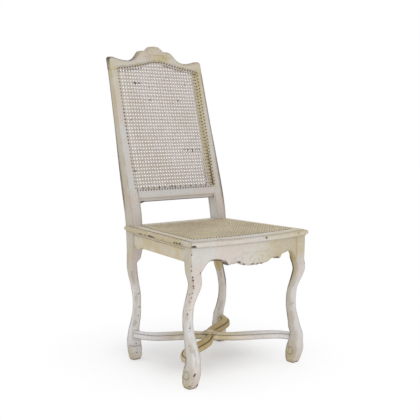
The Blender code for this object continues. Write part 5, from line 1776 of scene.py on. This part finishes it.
@dataclass(frozen=True)
class Boss:
    """Turned boss on the crossing of the stretcher."""

    radius: float = 0.024
    low: float = 0.0995
    height: float = 0.008
    profile: Rows = (
        (1.00, 0.00), (1.00, 0.18), (0.93, 0.34), (0.80, 0.42), (0.74, 0.34), (0.66, 0.34), (0.58, 0.60),
        (0.44, 0.84), (0.24, 0.97), (0.04, 1.00),
    )

    def build(self, shop: Workshop) -> None:
        """Make the boss and put it in place.

        Args:
            shop: Workshop that it goes to.
        """
        angle = np.linspace(0, 2 * math.pi, 64, endpoint=False)
        radii, z = np.array(self.profile).T[:, :, None]
        radii = radii * self.radius
        lobes = 1 + 0.04 * np.cos(angle * 8)[None, :] * (radii > 0.017)
        x = radii * np.cos(angle) * lobes
        y = STRETCHER_Y + radii * np.sin(angle) * lobes
        points = np.stack((x, y, np.broadcast_to(self.low + self.height * z, x.shape)), axis=-1)
        dirt_and_shade = np.zeros(x.shape)
        dirt_and_shade[0], dirt_and_shade[4:6] = 0.7, 0.7
        skin = Skin(points, True, True, dirt_and_shade, None, np.array(1.0))
        shop.place("stretcher_boss_turned", skin.mesh("stretcher_boss"), Slot.WORN, "stretcher_boss")


@dataclass(frozen=True)
class Strand:
    """Flat strip of split cane."""

    width: float = 0.0028
    rise: float = 0.0006

    def points(self, line: Array, normal: Array) -> Array:
        """Sweep the strip along a line of points on a surface.

        Args:
            line: Points of the line.
            normal: Direction away from the surface.

        Returns:
            The strip's grid of points.
        """
        way = np.gradient(line, axis=0)
        way /= np.linalg.norm(way, axis=1)[:, None]
        side = np.cross(normal, way)
        side /= np.linalg.norm(side, axis=1)[:, None]
        half, under = self.width / 2, normal * self.rise * 0.4
        edges = (line - side * half, line + normal * self.rise, line + side * half, line - under)
        return np.stack(edges, axis=1)


@dataclass
class CanePanel:
    """Six-way woven cane over a region of a surface.

    The region is given in surface coordinates (u across, v along); to_world maps it to the chair.
    """

    name: str
    slot: Slot
    node: str
    inside: Callable[[Array, Array], Array]
    to_world: Callable[[Array, Array, Array], Array]
    warmth: Callable[[Array, Array], Array]
    normal: Array
    bounds: tuple[float, float, float, float]
    pitch: float = PITCH
    rise_pitch: float = RISE_PITCH
    pair: float = 0.0032
    upright: Strand = Strand(0.0031)
    level: Strand = Strand(0.0038)
    slant: Strand = Strand(0.0027)
    stains: Rows = ()
    slant_reach: float = 9.0

    def trace(
        self, start: Point, way: Point, length: float, shift: Point, wave: float, lift: float,
        reach: float = 9.0,
    ) -> list[Array]:
        """Follow one strand across the region.

        Args:
            start: Where the line starts, in surface coordinates.
            way: Its direction, one pitch long.
            length: How many pitches it is long.
            shift: Sideways offset from its pair's middle.
            wave: How far it rises and dips at each crossing, with its sign as the phase.
            lift: Height of its layer.
            reach: How far from the middle it may run.

        Returns:
            Rows of (u, v, height) for each stretch inside the region.
        """
        t = np.arange(0, length, 0.04)
        u, v = start[0] + way[0] * t, start[1] + way[1] * t
        keep = self.inside(u, v) & (np.abs(u) < reach)
        ends = np.flatnonzero(np.diff(np.concatenate(((0,), keep.astype(int), (0,)))))
        stretches = []
        for first, last in zip(ends[::2], ends[1::2]):
            low, high = t[first], t[last - 1]
            if high - low < 0.4:
                continue
            at = np.linspace(low, high, max(int((high - low) * 4), 3) + 1)
            spread = np.clip(np.minimum(at - low, high - at) / 0.45, 0, 1)
            height = lift + wave * np.cos(2 * math.pi * at) * spread - 0.0012 * (spread < 0.02)
            u, v = (start[k] + way[k] * at + shift[k] * spread for k in (0, 1))
            stretches.append(np.stack((u, v, height), axis=1))
        return stretches

    def lines(self) -> list[tuple[Strand, Array]]:
        """List all strands: pairs up, pairs across, and single diagonals both ways.

        Returns:
            Each strand's strip and line.
        """
        u0, u1, v0, v1 = self.bounds
        p, q, half = self.pitch, self.rise_pitch, self.pair / 2
        wide, long = (u1 - u0) / p, (v1 - v0) / q
        count, low = math.ceil(wide + long) + 1, math.floor(v0 / q)
        out: list[tuple[Strand, Array]] = []

        def lay(strand: Strand, *where: Point | float) -> None:
            """Add the stretches of one strand."""
            out.extend((strand, line) for line in self.trace(*where))

        for i in range(math.floor(u0 / p), math.ceil(u1 / p)):
            for k in (-1, 1):
                lay(self.upright, ((i + 0.5) * p, v0), (0, q), long, (k * half, 0), k * 0.0003, 0.0)
        for j in range(low, math.ceil(v1 / q)):
            for k in (-1, 1):
                lay(self.level, (u0, (j + 0.5) * q), (p, 0), wide, (0, k * half * 1.15), k * 0.0003, 0.0004)
        for i in range(-count, count):
            for k, lift in ((1, 0.0009), (-1, 0.0012)):
                start = ((i + 0.5) * p, low * q)
                lay(self.slant, start, (k * p, q), long + 2, (0, 0), k * 0.0002, lift, self.slant_reach)
        return out

    def build(self, shop: Workshop) -> None:
        """Make the panel and put it in place.

        Args:
            shop: Workshop that it goes to.
        """
        tone = np.random.default_rng(7)
        skins = []
        for strand, line in self.lines():
            grid = strand.points(self.to_world(*line.T), self.normal)
            warm = self.warmth(line[:, 0], line[:, 1]) + tone.normal(0.0, 0.10)
            dirt_and_shade = np.full(grid.shape[:2], max(tone.normal(0.0, 0.06), 0.0))
            dirt_and_shade = np.maximum(dirt_and_shade, marks(grid, self.stains))
            skins.append(Skin(grid, True, True, dirt_and_shade, None, warm[:, None]))
        shop.place(self.name, join_skins(self.name, skins, None), self.slot, self.node)


BACK_STAINS = (
    (-0.1128, 0.9412, 0.0066), (-0.1072, 0.9410, 0.0056), (-0.0930, 0.9410, 0.0050),
    (-0.0530, 0.9290, 0.0040), (-0.0575, 0.8827, 0.0050), (0.0664, 0.8836, 0.0060),
    (0.1079, 0.9424, 0.0040), (-0.0812, 0.7643, 0.0050), (-0.1650, 0.6420, 0.0080),
    (0.0586, 0.7083, 0.0050), (0.0768, 0.7080, 0.0060), (0.0949, 0.7069, 0.0070),
    (0.1135, 0.7073, 0.0060), (0.1276, 0.7078, 0.0060), (-0.1503, 0.8142, 0.0040),
    (-0.0193, 0.5856, 0.0050),
)


@dataclass(frozen=True)
class Caning:
    """The two woven panels and the holes that their strands go through."""

    crest: CrestRail
    frame: SeatFrame
    base: float = 0.579
    top: float = 0.994
    seat_base: float = REAR_EDGE - 0.0565
    slant_reach: float = 0.1505

    def arch(self, u: Array) -> Array:
        """Height of the row of holes in the crest."""
        return self.crest.opening(u) + 0.0045

    def back_stains(self) -> Rows:
        """Dark spots on the back: broken strands, and grime where strands cross near the arch and the base.

        Returns:
            Rows of x, y, z and size.
        """
        places: list[tuple[float, ...]] = list(BACK_STAINS)
        for i in (*range(-15, -6), *range(2, 15)):
            x = (i + 0.5) * PITCH
            places.append((x, float(self.arch(x)) - 0.0085, 0.0042))
        for i in range(-15, 15, 2):
            places.append(((i + 0.5) * PITCH, self.base + 0.0042, 0.0034 + 0.0008 * (i % 3)))
        return tuple((x, float(back_y(z)), z, size) for x, z, size in places)

    def back(self, shop: Workshop) -> None:
        """Make the back panel.

        Args:
            shop: Workshop that it goes to.
        """

        def inside(u: Array, v: Array) -> Array:
            """Tell which places lie in the opening or on its rim."""
            z = self.base + v / BACK_SLOPE
            return (np.abs(u) <= HOLE_ROW) & (z >= self.base) & (z < self.arch(u))

        def to_world(u: Array, v: Array, h: Array) -> Array:
            """Place points on the raked back."""
            z = self.base + v / BACK_SLOPE
            return np.stack((u, back_y(z), z), axis=1) + BACK_NORMAL * (h - 0.0002)[:, None]

        def warmth(u: Array, v: Array) -> Array:
            """Yellow on the right edge, a little on the left."""
            blotch = 0.15 * np.sin(u * 31 + 1) * np.sin(v * 17 + 2)
            return 1.55 * np.clip((u - 0.143) / 0.010, 0, 1) + 0.30 * np.clip(-u / 0.12, 0, 1) + blotch

        CanePanel(
            "cane_back_woven", Slot.PALE_CANE, "cane_back", inside, to_world, warmth, BACK_NORMAL,
            (-HOLE_ROW, HOLE_ROW, 0.0, 0.460), stains=self.back_stains(), slant_reach=self.slant_reach,
        ).build(shop)

    def seat(self, shop: Workshop) -> None:
        """Make the seat panel.

        Args:
            shop: Workshop that it goes to.
        """
        sides, front = self.frame.side_x, self.frame.front_y

        def inside(u: Array, v: Array) -> Array:
            """Tell which places lie in the opening or on its rim."""
            y = self.seat_base - v
            return (np.abs(u) < sides(y, SEAT_SIDE_INSET)) & (y > front(u, SEAT_FRONT_INSET)) & (v >= 0)

        def to_world(u: Array, v: Array, h: Array) -> Array:
            """Place points on the seat."""
            return np.stack((u, self.seat_base - v, SEAT_TOP - 0.0006 + h), axis=1)

        def warmth(u: Array, v: Array) -> Array:
            """Blotchy, and darker toward the rear."""
            return 0.3 * np.sin(u * 19 + 2) * np.sin(v * 23) + 0.35 * np.clip(1 - v / 0.20, 0, 1)

        CanePanel(
            "cane_seat_woven", Slot.TAN_CANE, "cane_seat", inside, to_world, warmth, UP,
            (-0.2145, 0.2145, 0.0, 0.345), SEAT_PITCH, SEAT_PITCH,
        ).build(shop)

    def back_holes(self) -> list[tuple[Array, Array, float]]:
        """List the drilled holes round the back.

        Returns:
            Place, normal and size of each hole.
        """
        places = []
        step = RISE_PITCH / BACK_SLOPE
        for j in range(math.ceil((self.top - self.base) / step)):
            z = self.base + (j + 0.5) * step
            bold = 0.0030 if 0.73 < z < 0.86 else 0.0022
            places += [(-HOLE_ROW - 0.0012, z, bold), (HOLE_ROW + 0.0020, z, 0.0030)]
        for i in range(-15, 15):
            x = (i + 0.5) * PITCH
            places += [(x, self.base - 0.0024, 0.0027), (x, float(self.arch(x)) + 0.0018, 0.0034)]
        return [(np.array((x, float(back_y(z)), z)), BACK_NORMAL, size) for x, z, size in places]

    def seat_holes(self) -> list[tuple[Array, Array, float]]:
        """List the drilled holes round the seat.

        Returns:
            Place, normal and size of each hole.
        """
        places = []
        for i in range(-18, 18):
            x = (i + 0.5) * SEAT_PITCH
            places += [(x, float(self.frame.front_y(x, SEAT_FRONT_INSET))), (x, self.seat_base)]
        for j in range(31):
            y = self.seat_base - (j + 0.5) * SEAT_PITCH
            reach = float(self.frame.side_x(y, SEAT_SIDE_INSET))
            if y > self.frame.front_y(reach, SEAT_FRONT_INSET):
                places += [(-reach, y), (reach, y)]
        kept = [(x, y) for x, y in places if abs(x) <= self.frame.side_x(y, SEAT_SIDE_INSET) + 0.001]
        return [(np.array((x, y, SEAT_TOP)), UP, 0.0019) for x, y in kept]

    def holes(self, shop: Workshop) -> None:
        """Make the drilled holes, each a dark disc of painted shade that is sunk at its rim.

        Args:
            shop: Workshop that they go to.
        """
        angle = np.linspace(0, 2 * math.pi, 10, endpoint=False)
        side = np.array((1.0, 0.0, 0.0))
        # Painted shade: each disc is made fully dark to stand for the inside of its hole.
        dirt_and_shade = np.array(((1.0,), (1.6,), (1.6,)))
        for name, places in (("cane_holes_back", self.back_holes()), ("cane_holes_seat", self.seat_holes())):
            skins = []
            for centre, normal, size in places:
                spokes = np.cos(angle)[:, None] * side + np.sin(angle)[:, None] * np.cross(normal, side)
                rings = [
                    centre + normal * lift + spokes * (size * across)
                    for across, lift in ((1.0, -0.0002), (0.85, 0.0013), (0.10, 0.0012))
                ]
                skins.append(Skin(np.array(rings), True, False, dirt_and_shade))
            shop.place(name, join_skins(name, skins), Slot.WORN)


@dataclass(frozen=True)
class Studio:
    """Camera, lamps, floor and white surroundings."""

    azimuth: float = -39.66442
    elevation: float = 6.84716
    roll: float = 0.86632
    distance: float = 2.688386
    target: tuple[float, float, float] = (-0.012873, REAR_EDGE - 0.004 - 0.215, 0.520986)
    lens: float = 69.086
    sensor: float = 36.0
    floor_half: float = 6.0
    floor_drop: float = 0.0008
    floor_colour: Colour = (0.94, 0.94, 0.945, 1)
    floor_patch: Colour = (0.95, 0.95, 0.95, 1)
    sky: Colour = (0.97, 0.98, 1.0, 1)
    sky_power: float = 0.80
    lamps: tuple[tuple, ...] = (
        ("key", (0.7, -2.8, 2.2), (0, 0, 0.5), 2.2, 4.5, (1.0, 0.99, 0.97)),
        ("fill", (-2.8, -1.0, 1.6), (0, 0, 0.2), 2.4, 6, (0.97, 0.98, 1.0)),
        ("top", (0.0, 0.3, 3.4), (0, 0, 0.3), 2.6, 22, (1, 1, 1)),
        ("low", (-0.5, -1.8, 0.20), (0.12, 0, 0.00), 0.8, 9.2, (1.0, 0.985, 0.97)),
    )

    def camera(self) -> None:
        """Set the camera at the photograph's viewing angle."""
        a, e, r = (math.radians(v) for v in (self.azimuth, self.elevation, self.roll))
        back = Vector((math.sin(a) * math.cos(e), -math.cos(a) * math.cos(e), math.sin(e)))
        right = Vector((math.cos(a), math.sin(a), 0.0))
        turned = right * math.cos(r) + back.cross(right) * math.sin(r)
        basis = Matrix((turned, back.cross(turned), back)).transposed().to_4x4()
        basis.translation = Vector(self.target) + back * self.distance
        data = bpy.data.cameras.new("camera")
        data.lens = self.lens
        data.sensor_width = self.sensor
        item = bpy.data.objects.new("camera", data)
        bpy.context.scene.collection.objects.link(item)
        item.matrix_world = basis
        bpy.context.scene.camera = item

    def lamp(self, name: str, place: tuple, aim: tuple, size: float, power: float, colour: tuple) -> None:
        """Add a soft square lamp.

        Args:
            name: Name of the lamp.
            place: Where it is.
            aim: What it points at.
            size: Length of its sides.
            power: Its power in watts.
            colour: Its colour.
        """
        data = bpy.data.lights.new(name, "AREA")
        data.size, data.energy, data.color = size, power, colour
        item = bpy.data.objects.new(name, data)
        item.location = place
        item.rotation_euler = (Vector(aim) - Vector(place)).to_track_quat("-Z", "Y").to_euler()
        bpy.context.scene.collection.objects.link(item)

    def floor(self) -> None:
        """Make the pale floor, which turns white away from the chair and keeps its shadow."""
        kit = Nodes(bpy.data.materials.new("floor_pale"))
        where = kit.where()
        tone = kit.mix(kit.noise(where, 3.0), self.floor_colour, self.floor_patch)
        plain = kit.principled({"Base Color": tone, "Roughness": 0.9})
        away = kit.vector("ABSOLUTE", kit.vector("SUBTRACT", where, (0.03, 0.06, 0.0)))
        away = kit.vector("MAXIMUM", kit.vector("SUBTRACT", away, (0.10, 0.08, 1.0)))
        length = kit.vector("LENGTH", away, output="Value")
        near, far = kit.ramp(length, 0.0, 0.24, 0.15, 0.72), kit.ramp(length, 0.15, 0.50, 0.0, 0.28)
        white_share = kit.math("MULTIPLY", kit.seen(), kit.math("ADD", near, far))
        white = kit.add("ShaderNodeEmission", {"Color": (1, 1, 1, 1), "Strength": 1.0}).outputs[0]
        both = kit.add("ShaderNodeMixShader", {0: white_share, 1: plain, 2: white}).outputs[0]
        half = self.floor_half
        mesh = bpy.data.meshes.new("floor")
        corners = [(-half, -half, 0), (half, -half, 0), (half, half, 0), (-half, half, 0)]
        mesh.from_pydata(corners, [], [(0, 1, 2, 3)])
        mesh.materials.append(kit.close(both))
        floor = bpy.data.objects.new("floor", mesh)
        floor.location = (0, 0, -self.floor_drop)
        bpy.context.scene.collection.objects.link(floor)

    def sky_world(self) -> None:
        """Make the world: white where it is seen, soft daylight elsewhere."""
        kit = Nodes(bpy.data.worlds.new("studio"))
        white = kit.add("ShaderNodeBackground", {0: (1, 1, 1, 1)}).outputs[0]
        soft = kit.add("ShaderNodeBackground", {0: self.sky, 1: self.sky_power}).outputs[0]
        both = kit.add("ShaderNodeMixShader", {0: kit.seen(), 1: soft, 2: white}).outputs[0]
        bpy.context.scene.world = kit.close(both)

    def build(self) -> None:
        """Set up everything that isn't the chair."""
        self.camera()
        self.floor()
        self.sky_world()
        for row in self.lamps:
            self.lamp(*row)
        bpy.context.scene.view_settings.view_transform = "Standard"


def finishes() -> dict[Slot, bpy.types.Material]:
    """Make every finish once.

    Returns:
        The material of each slot.
    """
    return {
        Slot.PAINT: PaintFinish("painted_wood").build(),
        Slot.WORN: PaintFinish(
            "painted_wood_worn", cool=(0.68, 0.675, 0.67, 1), blush=(0.68, 0.63, 0.60, 1),
            cream=(0.60, 0.50, 0.31, 1), yellow_base=0.03, side_yellow_and_shade=0.20, chip_share=0.6,
        ).build(),
        Slot.RAW: WoodFinish("raw_wood", (0.50, 0.38, 0.24, 1), (0.36, 0.26, 0.15, 1)).build(),
        Slot.PEG: PaintFinish("peg_wood", chip_share=0.3).build(),
        Slot.PALE_CANE: CaneFinish("cane_pale", (0.66, 0.60, 0.57, 1), (0.58, 0.52, 0.43, 1)).build(),
        Slot.TAN_CANE: CaneFinish("cane_tan", (0.63, 0.54, 0.37, 1), (0.48, 0.395, 0.255, 1)).build(),
    }


def repaint_nodes(shop: Workshop) -> None:
    """Give the CAD nodes that stay, the pegs and the glue blocks, their finishes.

    Args:
        shop: Workshop that holds the nodes and the finishes.
    """
    for name, item in shop.nodes.items():
        if name.startswith(("peg_", "corner_block_")):
            slot = Slot.PEG if name.startswith("peg_") else Slot.RAW
            item.data.materials.clear()
            item.data.materials.append(shop.finishes[slot])


def main() -> None:
    """Build every piece of the chair in order."""
    logging.basicConfig(level=logging.INFO, format="%(message)s")
    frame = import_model()
    shop = Workshop(frame["nodes"], finishes())
    repaint_nodes(shop)
    crest, seat = CrestRail(), SeatFrame()
    for side in (-1, 1):
        FrontLeg(side).build(shop)
        RearPost(side).build(shop)
        SideApron(side).build(shop)
    crest.build(shop)
    BackRail().build(shop)
    seat.build(shop)
    FrontApron().build(shop)
    RearApron().build(shop)
    Stretcher(1, False).build(shop)
    Stretcher(-1, True).build(shop)
    Boss().build(shop)
    caning = Caning(crest, seat)
    caning.back(shop)
    caning.seat(shop)
    caning.holes(shop)
    Studio().build()
    LOG.info("%d pieces", shop.count)


if __name__ == "__main__":
    main()
